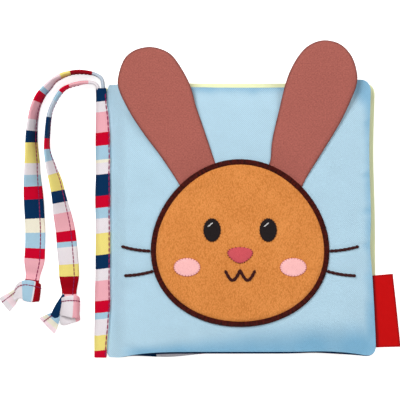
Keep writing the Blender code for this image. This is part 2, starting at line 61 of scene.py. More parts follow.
mm = 0.001
scene = bpy.context.scene
scene.view_settings.view_transform = "Standard"


# Linear colour from the 0 to 255 values a screen shows
def shade(red, green, blue):
    def one(c):
        c /= 255
        return c / 12.92 if c <= 0.04045 else ((c + 0.055) / 1.055) ** 2.4
    return one(red), one(green), one(blue), 1.0


def smooth(low, high, value):
    share = min(1.0, max(0.0, (value - low) / (high - low)))
    return share * share * (3 - 2 * share)


# Smooth noise from -1 to 1 with bumps about size across
def bumpy(x, y, size, seed=0.0):
    return noise.noise(Vector((x / size, y / size, seed)))


def bell(distance, width):
    return math.exp(-(distance / width) ** 2)


# Camera straight above, far away with a long lens
viewSettings = {"centre": (-17.5 * mm, 10 * mm), "height": 2.0, "wide": 0.2, "plane": 13 * mm}


def placeCamera():
    data = bpy.data.cameras.new("camera")
    data.sensor_width = 36
    data.lens = 36 * (viewSettings["height"] - viewSettings["plane"]) / viewSettings["wide"]
    data.clip_start, data.clip_end = 0.1, 20
    camera = bpy.data.objects.new("camera", data)
    camera.location = (*viewSettings["centre"], viewSettings["height"])
    scene.collection.objects.link(camera)
    scene.camera = camera


lightSettings = {
    "world": 0.27,
    "lamps": (      # name, place, size, watts
        ("softboxHead", (-0.50, 0.66, 0.90), 0.70, 11.0),
        ("softboxRight", (0.80, 0.26, 0.80), 0.90, 5.5),
        ("softboxFoot", (-0.10, -0.85, 0.32), 0.70, 2.6),
    ),
    "floorColour": shade(246, 246, 247), "floorLift": 0.70, "floorHalf": 3.0, "floorSink": 0.1 * mm,
}


def placeLights():
    world = bpy.data.worlds.new("studio")
    scene.world = world
    world.use_nodes = True
    back = world.node_tree.nodes["Background"]
    path = world.node_tree.nodes.new("ShaderNodeLightPath")
    mix = world.node_tree.nodes.new("ShaderNodeMath")
    mix.operation = "MAXIMUM"
    mix.inputs[1].default_value = lightSettings["world"]
    world.node_tree.links.new(path.outputs["Is Camera Ray"], mix.inputs[0])
    world.node_tree.links.new(mix.outputs[0], back.inputs["Strength"])
    back.inputs["Color"].default_value = (1, 1, 1, 1)
    for name, place, size, watts in lightSettings["lamps"]:
        data = bpy.data.lights.new(name, "AREA")
        data.shape = "DISK"
        data.size = size
        data.energy = watts
        lamp = bpy.data.objects.new(name, data)
        lamp.location = place
        lamp.rotation_euler = (-Vector(place)).to_track_quat("-Z", "Y").to_euler()
        scene.collection.objects.link(lamp)


placeCamera()
placeLights()
print("camera and lights placed")


# Short ways to add nodes and to join them
def addNode(tree, kind, values=None, **settings):
    made = tree.nodes.new("ShaderNode" + kind)
    for key, value in settings.items():
        setattr(made, key, value)
    for key, value in (values or {}).items():
        if isinstance(value, bpy.types.NodeSocket):
            tree.links.new(value, made.inputs[key])
        else:
            made.inputs[key].default_value = value
    return made


def calc(tree, operation, first, second=0.0):
    return addNode(tree, "Math", {0: first, 1: second}, operation=operation).outputs[0]


def times(tree, first, second):
    return calc(tree, "MULTIPLY", first, second)


def plus(tree, first, second):
    return calc(tree, "ADD", first, second)


def mixColour(tree, factor, first, second, blend="MIX"):
    made = addNode(tree, "Mix", {0: factor, 6: first, 7: second}, data_type="RGBA", blend_type=blend)
    return made.outputs[2]


def noiseOf(tree, vector, scale, detail=3.0, rough=0.5):
    made = addNode(tree, "TexNoise", {"Vector": vector, "Scale": scale, "Detail": detail,
                                      "Roughness": rough})
    return made.outputs["Fac"]


def spread(tree, value, low, high):
    return addNode(tree, "MapRange", {"Value": value, "From Min": low, "From Max": high}).outputs[0]


def groupOf(name, ins, outs):
    tree = bpy.data.node_groups.new(name, "ShaderNodeTree")
    for label, kind, value in ins:
        socket = tree.interface.new_socket(label, in_out="INPUT", socket_type="NodeSocket" + kind)
        if value is not None:
            socket.default_value = value
    for label, kind in outs:
        tree.interface.new_socket(label, in_out="OUTPUT", socket_type="NodeSocket" + kind)
    return tree, tree.nodes.new("NodeGroupInput").outputs, tree.nodes.new("NodeGroupOutput").inputs


def useGroup(tree, group, values):
    return addNode(tree, "Group", values, node_tree=group).outputs


# Plain weave: warp and weft threads that pass over and under each other
def makeWeaveGroup():
    tree, ins, outs = groupOf("clothWeave", (
        ("Place", "Vector", None), ("Pitch mm", "Float", 0.4), ("Slub", "Float", 0.35)),
        (("Height", "Float"), ("Thread", "Float")))
    axes = addNode(tree, "SeparateXYZ", {0: ins["Place"]}).outputs
    turn = calc(tree, "DIVIDE", 1000 * math.pi, ins["Pitch mm"])
    wander = times(tree, noiseOf(tree, ins["Place"], 220.0, 2.0), 0.25 * mm)
    warp, weft = (calc(tree, "SINE", times(tree, plus(tree, axes[n], wander), turn)) for n in (0, 1))
    over = times(tree, warp, weft)
    threads = plus(tree, over, calc(tree, "ABSOLUTE", over))
    slub = times(tree, noiseOf(tree, ins["Place"], 1400.0, 2.0), ins["Slub"])
    tree.links.new(plus(tree, times(tree, threads, 0.4), slub), outs["Height"])
    tree.links.new(plus(tree, times(tree, over, 0.5), 0.5), outs["Thread"])
    return tree


# Uneven dye, soft creases worn paler and single darker threads
def makeToneGroup():
    tree, ins, outs = groupOf("clothTone", (
        ("Place", "Vector", None), ("Colour", "Color", (0.5, 0.5, 0.5, 1)), ("Thread", "Float", 0.5),
        ("Blotch", "Float", 0.10), ("Fleck", "Float", 0.12), ("Fade", "Float", 0.08)),
        (("Colour", "Color"), ("Worn", "Float")))
    blotch = calc(tree, "SUBTRACT", noiseOf(tree, ins["Place"], 55.0, 4.0, 0.6), 0.5)
    worn = spread(tree, noiseOf(tree, ins["Place"], 130.0, 5.0, 0.7), 0.55, 0.75)
    yarn = times(tree, noiseOf(tree, ins["Place"], 1300.0, 3.0, 0.75), 0.6)
    fleck = calc(tree, "SUBTRACT", plus(tree, yarn, times(tree, ins["Thread"], 0.4)), 0.5)
    uneven = plus(tree, times(tree, blotch, ins["Blotch"]), times(tree, fleck, ins["Fleck"]))
    level = plus(tree, 1.0, uneven)
    tint = addNode(tree, "CombineColor", {0: level, 1: level, 2: level}).outputs[0]
    toned = mixColour(tree, 1.0, ins["Colour"], tint, "MULTIPLY")
    paler = mixColour(tree, 1.0, toned, (1.35, 1.35, 1.35, 1), "MULTIPLY")
    tree.links.new(mixColour(tree, times(tree, worn, ins["Fade"]), toned, paler), outs["Colour"])
    tree.links.new(worn, outs["Worn"])
    return tree


# Short pile: tufts that lean one way, paler at their tips, with painted shade darkening the hollows between
# them
def makeNapGroup():
    tree, ins, outs = groupOf("plushNap", (
        ("Place", "Vector", None), ("Tuft mm", "Float", 0.8), ("Lean", "Float", 0.6)),
        (("Height", "Float"), ("Tip", "Float")))
    scale = calc(tree, "DIVIDE", 1000.0, ins["Tuft mm"])
    warp = addNode(tree, "TexNoise", {"Vector": ins["Place"], "Scale": 160.0}).outputs["Color"]
    shift = addNode(tree, "VectorMath", {0: warp, 1: (1.2 * mm, 2.4 * mm, 0.0)}, operation="MULTIPLY")
    leaned = addNode(tree, "VectorMath", {0: ins["Place"], 1: shift.outputs[0]}, operation="ADD")
    combed = addNode(tree, "Mapping", {"Vector": leaned.outputs[0], "Scale": (1.0, 0.55, 1.0)}).outputs[0]
    tufts = addNode(tree, "TexVoronoi", {"Vector": combed, "Scale": scale, "Randomness": 1.0})
    hairs = noiseOf(tree, combed, times(tree, scale, 2.6), 4.0, 0.75)
    height = calc(tree, "SUBTRACT", times(tree, hairs, 0.9),
                  times(tree, tufts.outputs["Distance"], ins["Lean"]))
    tree.links.new(height, outs["Height"])
    tree.links.new(spread(tree, height, -0.15, 0.45), outs["Tip"])
    return tree


# Plied sewing thread: strands that wind round its length
def makeTwistGroup():
    tree, ins, outs = groupOf("threadTwist", (
        ("Place", "Vector", None), ("Pitch mm", "Float", 0.7)), (("Height", "Float"), ("Strand", "Float")))
    axes = addNode(tree, "SeparateXYZ", {0: ins["Place"]}).outputs
    along = times(tree, axes[0], calc(tree, "DIVIDE", 2000 * math.pi, ins["Pitch mm"]))
    wound = plus(tree, along, times(tree, axes[1], 4 * math.pi))
    wave = plus(tree, times(tree, calc(tree, "SINE", wound), 0.5), 0.5)
    fuzz = times(tree, noiseOf(tree, ins["Place"], 2500.0, 2.0), 0.3)
    tree.links.new(plus(tree, wave, fuzz), outs["Height"])
    tree.links.new(wave, outs["Strand"])
    return tree


weaveGroup, toneGroup = makeWeaveGroup(), makeToneGroup()
napGroup, twistGroup = makeNapGroup(), makeTwistGroup()


def startMaterial(name, roughness, sheen=0.0, sheenRough=0.5, **sockets):
    material = bpy.data.materials.new(name)
    material.use_nodes = True
    tree = material.node_tree
    shader = tree.nodes["Principled BSDF"]
    shader.inputs["Roughness"].default_value = roughness
    shader.inputs["Sheen Weight"].default_value = sheen
    shader.inputs["Sheen Roughness"].default_value = sheenRough
    for key, value in sockets.items():
        shader.inputs[key.replace("_", " ")].default_value = value
    return material, tree, shader


# Each piece of cloth carries its own cut's places as a UV map, in metres
def clothPlace(tree):
    return addNode(tree, "UVMap", uv_map="clothPlace").outputs[0]


def surfaceTo(tree, shader, colour, height, depth):
    bump = addNode(tree, "Bump", {"Height": height, "Distance": depth, "Strength": 1.0})
    tree.links.new(colour, shader.inputs["Base Color"])
    tree.links.new(bump.outputs[0], shader.inputs["Normal"])


# A cloth's colour with painted shade: darkened towards deep where the mesh's shade attribute says
def withPaintedShade(tree, colour, deep):
    seam = addNode(tree, "VertexColor", layer_name="paintedShade").outputs["Color"]
    return mixColour(tree, seam, colour, mixColour(tree, 1.0, colour, deep, "MULTIPLY"))


# Colour of a row of (colour, width in mm) stripes at a place in metres from the first
def stripeRamp(tree, place, stripes, colours):
    total = sum(width for _, width in stripes)
    share = calc(tree, "DIVIDE", place, total * mm)
    ramp = addNode(tree, "ValToRGB", {0: share})
    ramp.color_ramp.interpolation = "CONSTANT"
    stops, along = ramp.color_ramp.elements, 0.0
    stops.remove(stops[1])
    for k, (colour, width) in enumerate(stripes):
        stop = stops[0] if k == 0 else stops.new(along / total)
        stop.color = colours[colour]
        along += width
    return ramp.outputs["Color"]


cottonColours = {
    "white": shade(226, 218, 222), "cream": shade(232, 226, 206), "rosy": shade(238, 214, 220),
    # The ties' darker red stripes are their red painted darker where it lies in shade
    "pink": shade(232, 168, 178), "red": shade(196, 0, 40), "redInPaintedShade": shade(150, 2, 20),
    "sky": shade(160, 194, 213), "slate": shade(186, 198, 210), "navy": shade(4, 44, 82),
    "yellow": shade(232, 215, 122), "lilac": shade(244, 238, 252),
}


# Woven cotton, plain or yarn-dyed in stripes across one axis of its own cut
def cottonMaterial(name, colour=None, stripes=None, axis=0, start=0.0, way=1, pitch=0.42,
                   weave=0.09 * mm, blotch=0.10, fleck=0.22, fade=0.12, sheen=0.02, edges=None, gloss=0.06):
    material, tree, shader = startMaterial(name, 0.86, sheen, 0.45, Specular_IOR_Level=gloss)
    place = clothPlace(tree)
    woven = useGroup(tree, weaveGroup, {"Place": place, "Pitch mm": pitch, "Slub": 0.4})
    if stripes:
        axes = addNode(tree, "SeparateXYZ", {0: place}).outputs
        wobble = calc(tree, "SUBTRACT", noiseOf(tree, place, 900.0, 1.0), 0.5)
        run = times(tree, calc(tree, "SUBTRACT", axes[axis], start), float(way))
        colour = stripeRamp(tree, plus(tree, run, times(tree, wobble, 0.3 * mm)), stripes, cottonColours)
    tint = useGroup(tree, toneGroup, {"Place": place, "Colour": colour, "Thread": woven["Thread"],
                                      "Blotch": blotch, "Fleck": fleck, "Fade": fade})["Colour"]
    # Painted shade: where the mesh's shade attribute asks, the colour is multiplied by edges
    if edges:
        tint = withPaintedShade(tree, tint, edges)
    rough = plus(tree, 0.80, times(tree, woven["Thread"], 0.12))
    tree.links.new(rough, shader.inputs["Roughness"])
    surfaceTo(tree, shader, tint, woven["Height"], weave)
    return material


def threadMaterial(name, colour, dark=0.45):
    material, tree, shader = startMaterial(name, 0.7, 0.05, 0.3, Specular_IOR_Level=0.2)
    twist = useGroup(tree, twistGroup, {"Place": clothPlace(tree), "Pitch mm": 0.7})
    low = tuple(c * dark for c in colour[:3]) + (1.0,)
    surfaceTo(tree, shader, mixColour(tree, twist["Strand"], low, colour), twist["Height"], 0.12 * mm)
    return material


# Pressed felt: matted fibres with a little lint
def feltMaterial(name, colour, pale, sheen=0.2):
    material, tree, shader = startMaterial(name, 0.94, sheen, 0.5, Specular_IOR_Level=0.2)
    place = clothPlace(tree)
    nap = useGroup(tree, napGroup, {"Place": place, "Tuft mm": 0.35, "Lean": 0.25})
    # Painted shade: the felt is darker in the nap's hollows
    toned = useGroup(tree, toneGroup, {"Place": place, "Colour": mixColour(tree, nap["Tip"], colour, pale),
                                       "Thread": nap["Tip"], "Blotch": 0.15, "Fleck": 0.2, "Fade": 0.2})
    surfaceTo(tree, shader, toned["Colour"], nap["Height"], 0.15 * mm)
    return material


def plushMaterial():
    material, tree, shader = startMaterial("tanPlush", 0.9, 0.25, 0.4, Specular_IOR_Level=0.15)
    shader.inputs["Sheen Tint"].default_value = (1.0, 0.72, 0.42, 1)
    place = clothPlace(tree)
    nap = useGroup(tree, napGroup, {"Place": place, "Tuft mm": 0.5, "Lean": 0.7})
    patches = times(tree, noiseOf(tree, place, 60.0, 2.0, 0.5), 0.4)
    # Painted shade: the plush is darker in the nap's hollows and paler at its tips
    ramp = addNode(tree, "ValToRGB", {0: plus(tree, times(tree, nap["Tip"], 0.6), patches)})
    stops = ramp.color_ramp.elements
    stops[0].position, stops[0].color = 0.20, shade(199, 120, 54)
    stops[1].position, stops[1].color = 0.80, shade(232, 153, 84)
    stops.new(0.5).color = shade(217, 137, 68)
    surfaceTo(tree, shader, ramp.outputs[0], nap["Height"], 0.18 * mm)
    return material


# Dense embroidery thread laid side by side
def satinMaterial(name, dark, pale):
    material, tree, shader = startMaterial(name, 0.6, 0.0, 0.3, Specular_IOR_Level=0.12)
    place = clothPlace(tree)
    twist = useGroup(tree, twistGroup, {"Place": place, "Pitch mm": 0.45})
    stretched = addNode(tree, "Mapping", {"Vector": place, "Scale": (0.35, 1.0, 1.0)}).outputs[0]
    uneven = spread(tree, noiseOf(tree, stretched, 900.0, 3.0, 0.7), 0.32, 0.68)
    lit = times(tree, uneven, plus(tree, 0.45, times(tree, twist["Strand"], 0.55)))
    colour = mixColour(tree, lit, dark, pale)
    surfaceTo(tree, shader, colour, plus(tree, twist["Height"], uneven), 0.14 * mm)
    return material


# Damask label: fine ribs across, painted shade at its seam and fold and a deeper red at its hems, nothing
# woven into it
def labelMaterial():
    material, tree, shader = startMaterial("redWovenLabel", 0.7, 0.01, 0.35, Specular_IOR_Level=0.08)
    place = clothPlace(tree)
    woven = useGroup(tree, weaveGroup, {"Place": place, "Pitch mm": 0.30, "Slub": 0.2})
    axes = addNode(tree, "SeparateXYZ", {0: place}).outputs
    rib = calc(tree, "SINE", times(tree, axes[1], 2 * math.pi / (0.55 * mm)))
    level = plus(tree, 0.5, times(tree, rib, 0.5))
    base = mixColour(tree, level, shade(180, 2, 4), shade(206, 10, 12))
    toned = useGroup(tree, toneGroup, {"Place": place, "Colour": base, "Thread": woven["Thread"],
                                       "Blotch": 0.08, "Fleck": 0.16, "Fade": 0.02})
    # Painted shade at the seam and fold, and darker hems, from the mesh's shade attribute
    surfaceTo(tree, shader, withPaintedShade(tree, toned["Colour"], (0.34, 0.5, 1.0, 1)),
              plus(tree, woven["Height"], times(tree, level, 0.8)), 0.07 * mm)
    return material


# Wadding and film inside the leaves, seen only through an opened seam
def hiddenMaterial(name, colour, roughness, size):
    material, tree, shader = startMaterial(name, roughness)
    place = addNode(tree, "TexCoord").outputs["Object"]
    nap = useGroup(tree, napGroup, {"Place": place, "Tuft mm": size, "Lean": 0.5})
    # Painted shade: darker in the nap's hollows
    dark = tuple(c * 0.8 for c in colour[:3]) + (1.0,)
    surfaceTo(tree, shader, mixColour(tree, nap["Tip"], dark, colour), nap["Height"], 0.4 * mm)
    return material


# Stripes in their order along each cut: colour and width in mm
spineStripes = (
    ("navy", 6.5), ("white", 5.5), ("pink", 10.5), ("red", 6), ("sky", 7), ("cream", 2), ("white", 5.5),
    ("navy", 11), ("red", 6), ("sky", 5.5), ("white", 7.5), ("yellow", 10.5), ("navy", 7), ("white", 6),
    ("pink", 10), ("red", 6), ("sky", 3), ("white", 8.5), ("yellow", 7.5), ("red", 6))
backStripes = (
    ("yellow", 9.5), ("navy", 13), ("lilac", 21), ("pink", 14), ("red", 9), ("sky", 12), ("cream", 5),
    ("white", 10), ("navy", 14), ("red", 9), ("sky", 12), ("yellow", 16))
outerStripes = (
    ("slate", 10.2), ("redInPaintedShade", 10.9), ("yellow", 5.2), ("rosy", 10), ("sky", 2.2), ("red", 5.7),
    ("pink", 9), ("white", 5.6), ("navy", 6.1), ("yellow", 10.1), ("white", 6.3), ("sky", 5.9),
    ("red", 5.9), ("navy", 10.3), ("cream", 6.9), ("sky", 7.6), ("red", 5.6), ("pink", 10.9),
    ("redInPaintedShade", 8.7), ("white", 0.7), ("sky", 5.2), ("white", 6.9), ("cream", 3), ("rosy", 3.2),
    ("white", 4.5))
innerStripes = (
    ("white", 5.6), ("pink", 10.1), ("red", 5.8), ("sky", 5), ("slate", 9), ("navy", 10.3), ("red", 5.6),
    ("sky", 6.3), ("white", 6.8), ("yellow", 8.7), ("navy", 5.6), ("white", 5.6), ("pink", 9.2),
    ("red", 5.5), ("sky", 3.1), ("white", 8.2), ("yellow", 6.6), ("redInPaintedShade", 9),
    ("pink", 9.2), ("white", 10.4), ("navy", 14.5), ("slate", 1.5), ("sky", 4.6), ("cream", 3), ("rosy", 3))

cloth = {
    # The blue cloth's edges colour is the deeper blue of its painted shade
    "blue": cottonMaterial("lightBlueCotton", shade(177, 209, 226), pitch=0.5, weave=0.16 * mm,
                           blotch=0.16, fleck=0.42, gloss=0.2, edges=(0.44, 0.66, 0.80, 1)),
    "navy": cottonMaterial("navyCotton", shade(8, 38, 74), blotch=0.2, fleck=0.4),
    "lime": cottonMaterial("limeCotton", shade(250, 255, 204), pitch=0.45, gloss=0.2),
    # The ear cloth's edges colour is its painted seam shadow along the turned edge
    "ear": cottonMaterial("roseBrownCotton", shade(168, 94, 84), pitch=0.36, weave=0.12 * mm, fleck=2.0,
                          fade=0.04, sheen=0.04, gloss=0.2, edges=(0.42, 0.40, 0.44, 1)),
    "back": cottonMaterial("stripedBackCotton", stripes=backStripes, axis=0, start=-0.062),
    "spine": cottonMaterial("stripedSpineCotton", stripes=spineStripes, axis=1, start=0.0668, way=-1),
    "outerTie": cottonMaterial("stripedTieCottonOuter", stripes=outerStripes),
    "innerTie": cottonMaterial("stripedTieCottonInner", stripes=innerStripes),
    "plush": plushMaterial(),
    "satin": satinMaterial("maroonSatinStitch", shade(22, 0, 0), shade(104, 26, 16)),
    "maroon": threadMaterial("maroonThread", shade(66, 14, 14)),
    "magenta": threadMaterial("magentaThread", shade(158, 34, 92), dark=0.75),
    "dark": feltMaterial("darkFelt", shade(10, 7, 9), shade(32, 25, 26), 0.02),
    "pink": feltMaterial("pinkFelt", shade(226, 150, 152), shade(247, 190, 188)),
    "rose": feltMaterial("roseFelt", shade(178, 48, 62), shade(205, 84, 92)),
    "whiteThread": threadMaterial("whiteThread", shade(240, 238, 236)),
    "pinkThread": threadMaterial("pinkThread", shade(208, 106, 112)),
    "label": labelMaterial(),
    "wadding": hiddenMaterial("whiteWadding", shade(240, 240, 238), 1.0, 2.0),
    "film": hiddenMaterial("crinkleFilm", shade(214, 220, 226), 0.25, 3.0),
}
print("materials made:", len(bpy.data.materials))


# Mesh helpers
def link(name, mesh, *materials):
    for material in materials:
        mesh.materials.append(material)
    piece = bpy.data.objects.new(name, mesh)
    scene.collection.objects.link(piece)
    return piece


# Closed mesh from points, faces and each point's place on the cloth, in metres
def meshFrom(name, points, faces, places, sharp=50):
    mesh = bpy.data.meshes.new(name)
    mesh.from_pydata([tuple(p) for p in points], [], faces)
    layer = mesh.uv_layers.new(name="clothPlace")
    for loop in mesh.loops:
        layer.data[loop.index].uv = places[loop.vertex_index]
    form = bmesh.new()
    form.from_mesh(mesh)
    bmesh.ops.remove_doubles(form, verts=form.verts, dist=1e-6)
    bmesh.ops.recalc_face_normals(form, faces=form.faces)
    form.to_mesh(mesh)
    form.free()
    mesh.shade_smooth()
    mesh.set_sharp_from_angle(angle=math.radians(sharp))
    return mesh


# Closed sheet over a grid: topAt and lowAt give its two faces, placeAt its place on the cloth
def gridShell(name, columns, rows, topAt, lowAt, placeAt, sharp=50):
    spots = [(i, j) for j in range(rows + 1) for i in range(columns + 1)]
    points = [at(i, j) for at in (topAt, lowAt) for i, j in spots]
    places = [placeAt(i, j) for i, j in spots] * 2
    wide, half = columns + 1, len(spots)
    faces = []
    for j in range(rows):
        for i in range(columns):
            a = j * wide + i
            b, c, d = a + 1, a + 1 + wide, a + wide
            faces += [(a, b, c, d), (half + d, half + c, half + b, half + a)]
    rim = list(range(wide)) + [j * wide + columns for j in range(1, rows + 1)]
    rim += [rows * wide + i for i in range(columns - 1, -1, -1)]
    rim += [j * wide for j in range(rows - 1, 0, -1)]
    for a, b in zip(rim, rim[1:] + rim[:1]):
        faces.append((half + a, half + b, b, a))
    return meshFrom(name, points, faces, places, sharp)


# How much painted shade each point gets, kept as a colour attribute on the mesh
def paintShade(mesh, shadeAt):
    layer = mesh.color_attributes.new("paintedShade", "FLOAT_COLOR", "POINT")
    for vertex, spot in zip(mesh.vertices, layer.data):
        deep = shadeAt(vertex)
        spot.color = (deep, deep, deep, 1)


def lengthsAlong(route):
    along = [0.0]
    for a, b in zip(route, route[1:]):
        along.append(along[-1] + (b - a).length)
    return along


# Tangent at every point of a route
def tangentsOf(points, closed=False):
    count, out = len(points), []
    for k in range(count):
        a = points[(k - 1) % count] if closed or k else points[0]
        b = points[(k + 1) % count] if closed or k < count - 1 else points[-1]
        out.append((b - a).normalized())
    return out


# Points, faces and places of a section carried along a route. frames has a side and an up direction
# for each point, sectionAt(k) lists (across, up) pairs and placeAt gives the place across the cloth
def carry(points, frames, sectionAt, placeAt, along=0.0, closed=False):
    verts, faces, places, rings, sides = [], [], [], len(points), len(sectionAt(0))
    for k, (point, (side, up)) in enumerate(zip(points, frames)):
        if k:
            along += (point - points[k - 1]).length
        for n, (a, b) in enumerate(sectionAt(k)):
            verts.append(point + side * a + up * b)
            places.append((along, placeAt(a, n / sides)))
    for k in range(rings if closed else rings - 1):
        near, far = k * sides, ((k + 1) % rings) * sides
        for n in range(sides):
            m = (n + 1) % sides
            faces.append((near + n, near + m, far + m, far + n))
    if not closed:
        faces.append(tuple(reversed(range(sides))))
        faces.append(tuple(range((rings - 1) * sides, rings * sides)))
    return verts, faces, places


# The same for a thread whose sections all stand square to it
def sweep(points, sectionAt, closed=False, up=Vector((0, 0, 1))):
    frames = []
    for tangent in tangentsOf(points, closed):
        side = tangent.cross(up).normalized()
        frames.append((side, side.cross(tangent)))
    return carry(points, frames, sectionAt, lambda across, share: share, closed=closed)


def roundSection(radius, sides=8, flat=1.0):
    return [(radius * math.cos(2 * math.pi * n / sides), radius * flat * math.sin(2 * math.pi * n / sides))
            for n in range(sides)]


# One list of points, faces and places from several
def gather(parts):
    points, faces, places = [], [], []
    for verts, rings, spots in parts:
        base = len(points)
        points += verts
        places += spots
        faces += [tuple(base + n for n in face) for face in rings]
    return points, faces, places


# One stitch: a short thread with rounded ends that bows up over the cloth
def capsule(start, end, radius, lift, steps=6, sides=6):
    route, radii = [], []
    for k in range(steps + 1):
        share = k / steps
        place = start.lerp(end, share)
        place.z += lift * math.sin(math.pi * share)
        route.append(place)
        radii.append(radius * max(0.12, math.sin(math.pi * share)) ** 0.45)
    return sweep(route, lambda k: roundSection(radii[k], sides))


# Running stitches along a route, each with its ends pulled into the cloth
def stitchRow(name, route, radius, length, gap, lift, material, sink):
    parts, along, at = [], lengthsAlong(route), 0.0

    def pointAt(want):
        want = min(max(want, 0.0), along[-1])
        k = next(n for n in range(1, len(along)) if along[n] >= want - 1e-9)
        return route[k - 1].lerp(route[k], (want - along[k - 1]) / max(along[k] - along[k - 1], 1e-9))

    while at + length <= along[-1]:
        a, b = pointAt(at), pointAt(at + length)
        for end in (a, b):
            end.z -= radius * sink
        parts.append(capsule(a, b, radius, lift))
        at += length + gap
    return link(name, meshFrom(name, *gather(parts)), material)


# Rides a piece on its body and hides the solids it stands for
def finishPiece(piece, body, slot, *nodes):
    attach(piece, body)
    if nodes:
        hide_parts(*nodes)
    return piece


# Leaves: two crowned cloths each, turned at the seam, running on into the spine
leafSettings = {
    "height": 138 * mm, "foreEdge": 70.5 * mm, "left": -57.5 * mm, "centre": 6.5 * mm, "halfWide": 64 * mm,
    "cornerRadius": 5.4 * mm, "spineCornerRadius": 1.6 * mm, "joinedRadius": 0.3 * mm,
    "over": 2.9 * mm, "under": 0.9 * mm, "cloth": 0.6 * mm, "gap": 0.15 * mm, "rest": 0.5 * mm,
    "crownPower": 4.2, "edgePower": 0.52, "roundness": 8.0, "ringPower": 1.7, "cells": 88,
    "edgeShare": 0.62,          # share of the crown that rises at once, at the seam
    "shoulder": 15 * mm,        # how far in from the edge the rest of it still rises
    "simulated": 0.42,          # share of the crown that the simulated pad gives
    "pucker": 0.42 * mm, "puckerSize": 7.5 * mm, "puckerReach": 6.5 * mm, "puckerAt": 1.2 * mm,
    "broad": ((0.34 * mm, 30 * mm, 0), (0.16 * mm, 12 * mm, 9)),    # depth, size and seed of the waves
    "mouth": -63 * mm, "climbEnd": -52.5 * mm, "parted": 0.05 * mm, "padFrom": 18 * mm, "roughFrom": 9 * mm,
}
seams = {"back_cover": 1.65 * mm, "page": 7.15 * mm, "front_cover": 12.65 * mm}
marginLevels = {"back_cover": 5.65 * mm, "page": 7.15 * mm, "front_cover": 8.65 * mm}
halfMargin = 0.6 * mm

# How the seams draw the edges in. Places along and across a leaf run from -1 to 1
edgeSettings = {
    "taper": (-1.05, -0.1), "middle": (0.5, 0.35), "waist": (-0.2, 0.14), "corner": (0.55, 0.92),
    "headPower": 2, "footPower": 6, "depthPower": 4, "bulge": (-34 * mm, 16 * mm),
    # in mm for each cloth: how far an edge is drawn in at its ends and how much more in its middle,
    # how much less at the head's far corner, how far the foot bulges, the side's waist, and the
    # place, reach and depth of a dip in the foot
    "coverOver": {"side": (2.4, 1.0), "head": (1.2, 1.7), "corner": 2.7, "foot": (0.1, 3.0), "waist": 0.6,
                  "dip": (46, 12, 0.4)},
    "coverUnder": {"side": (2.5, 0.8), "head": (1.4, 1.7), "corner": 2.7, "foot": (0.1, 2.05), "waist": 0.6,
                   "dip": (40, 9, 0.45)},
    "pageOver": {"side": (0.2, 0.9), "head": (0.3, 0.3), "foot": (1.5, 2.5)},
    "pageUnder": {"side": (0.4, 0.9), "head": (0.4, 0.8), "foot": (1.7, 2.5)},
    "backOver": {"side": (1.8, 0.9), "head": (1.0, 1.5), "foot": (0.6, 2.6), "bulge": 0.6},
    "backUnder": {"side": (1.7, 0.8), "head": (0.9, 1.4), "foot": (0.4, 1.8), "bulge": 2.0},
}

# The front cover's extra fullness, and the short gathers at the binding's seam
fullSettings = {
    "extra": 1.0 * mm, "foot": (3.4 * mm, -2 * mm, 15 * mm), "head": (3.0 * mm, 0, 12 * mm),
    "side": (3 * mm, 0, 12 * mm), "spineReach": 22 * mm,
    "gather": 0.34 * mm, "gatherFrom": (-60 * mm, -58 * mm), "gatherTo": (-40 * mm, -54 * mm),
    "gatherSizes": ((5.5 * mm, 0.25, 6.0, 1.0), (2.6 * mm, 0.3, 9.0, 0.5)),   # size, stretch, seed, share
}


# How much of a leaf's fullness stands at a place
def crownShare(x, y):
    s = leafSettings
    across, along = abs(x - s["centre"]) / s["halfWide"], abs(y) / (s["height"] / 2)
    level = min(1.0, (across ** s["roundness"] + along ** s["roundness"]) ** (1 / s["roundness"]))
    inner = smooth(0, s["shoulder"], (1.0 - level) * s["halfWide"])
    outer = (1.0 - level ** s["crownPower"]) ** s["edgePower"]
    return s["edgeShare"] * outer + (1 - s["edgeShare"]) * inner


def gathers(x, y):
    s = fullSettings
    near = smooth(*s["gatherFrom"], x) * smooth(*s["gatherTo"], x)
    return s["gather"] * near * sum(share * bumpy(x * stretch, y, size, seed)
                                    for size, stretch, seed, share in s["gatherSizes"])


def coverExtra(x, y):
    s, full = leafSettings, fullSettings
    rise = smooth(s["climbEnd"], s["climbEnd"] + full["spineReach"], x)
    inside = {"foot": y + s["height"] / 2, "head": s["height"] / 2 - y, "side": s["foreEdge"] - x}
    for edge, distance in inside.items():
        start, low, high = full[edge]
        rise *= smooth(low, high, distance - start)
    return full["extra"] * rise


# How far the side is drawn in at a place along it
def drawnSide(drawn, along):
    e = edgeSettings
    ends, more = drawn["side"]
    middle, reach = e["middle"]
    waistAt, waistReach = e["waist"]
    return (ends * smooth(*e["taper"], along) + more * bell(along - middle, reach)
            + drawn.get("waist", 0) * bell(along - waistAt, waistReach)) * mm


# The same for the head, or for the foot where along is below 0
def drawnEnd(drawn, x, across, along):
    e = edgeSettings
    if along > 0:
        ends, more = drawn["head"]
        ends -= drawn.get("corner", 0) * smooth(*e["corner"], across)
        return (ends + more * (1.0 - abs(across) ** e["headPower"])) * mm
    ends, more = drawn["foot"]
    bulgeAt, bulgeReach = e["bulge"]
    dipAt, dipReach, dipDeep = drawn.get("dip", (0, 1, 0))
    return (ends + more * (1.0 - abs(across) ** e["footPower"])
            - drawn.get("bulge", 0) * bell(x - bulgeAt, bulgeReach)
            + dipDeep * bell(x / mm - dipAt, dipReach)) * mm


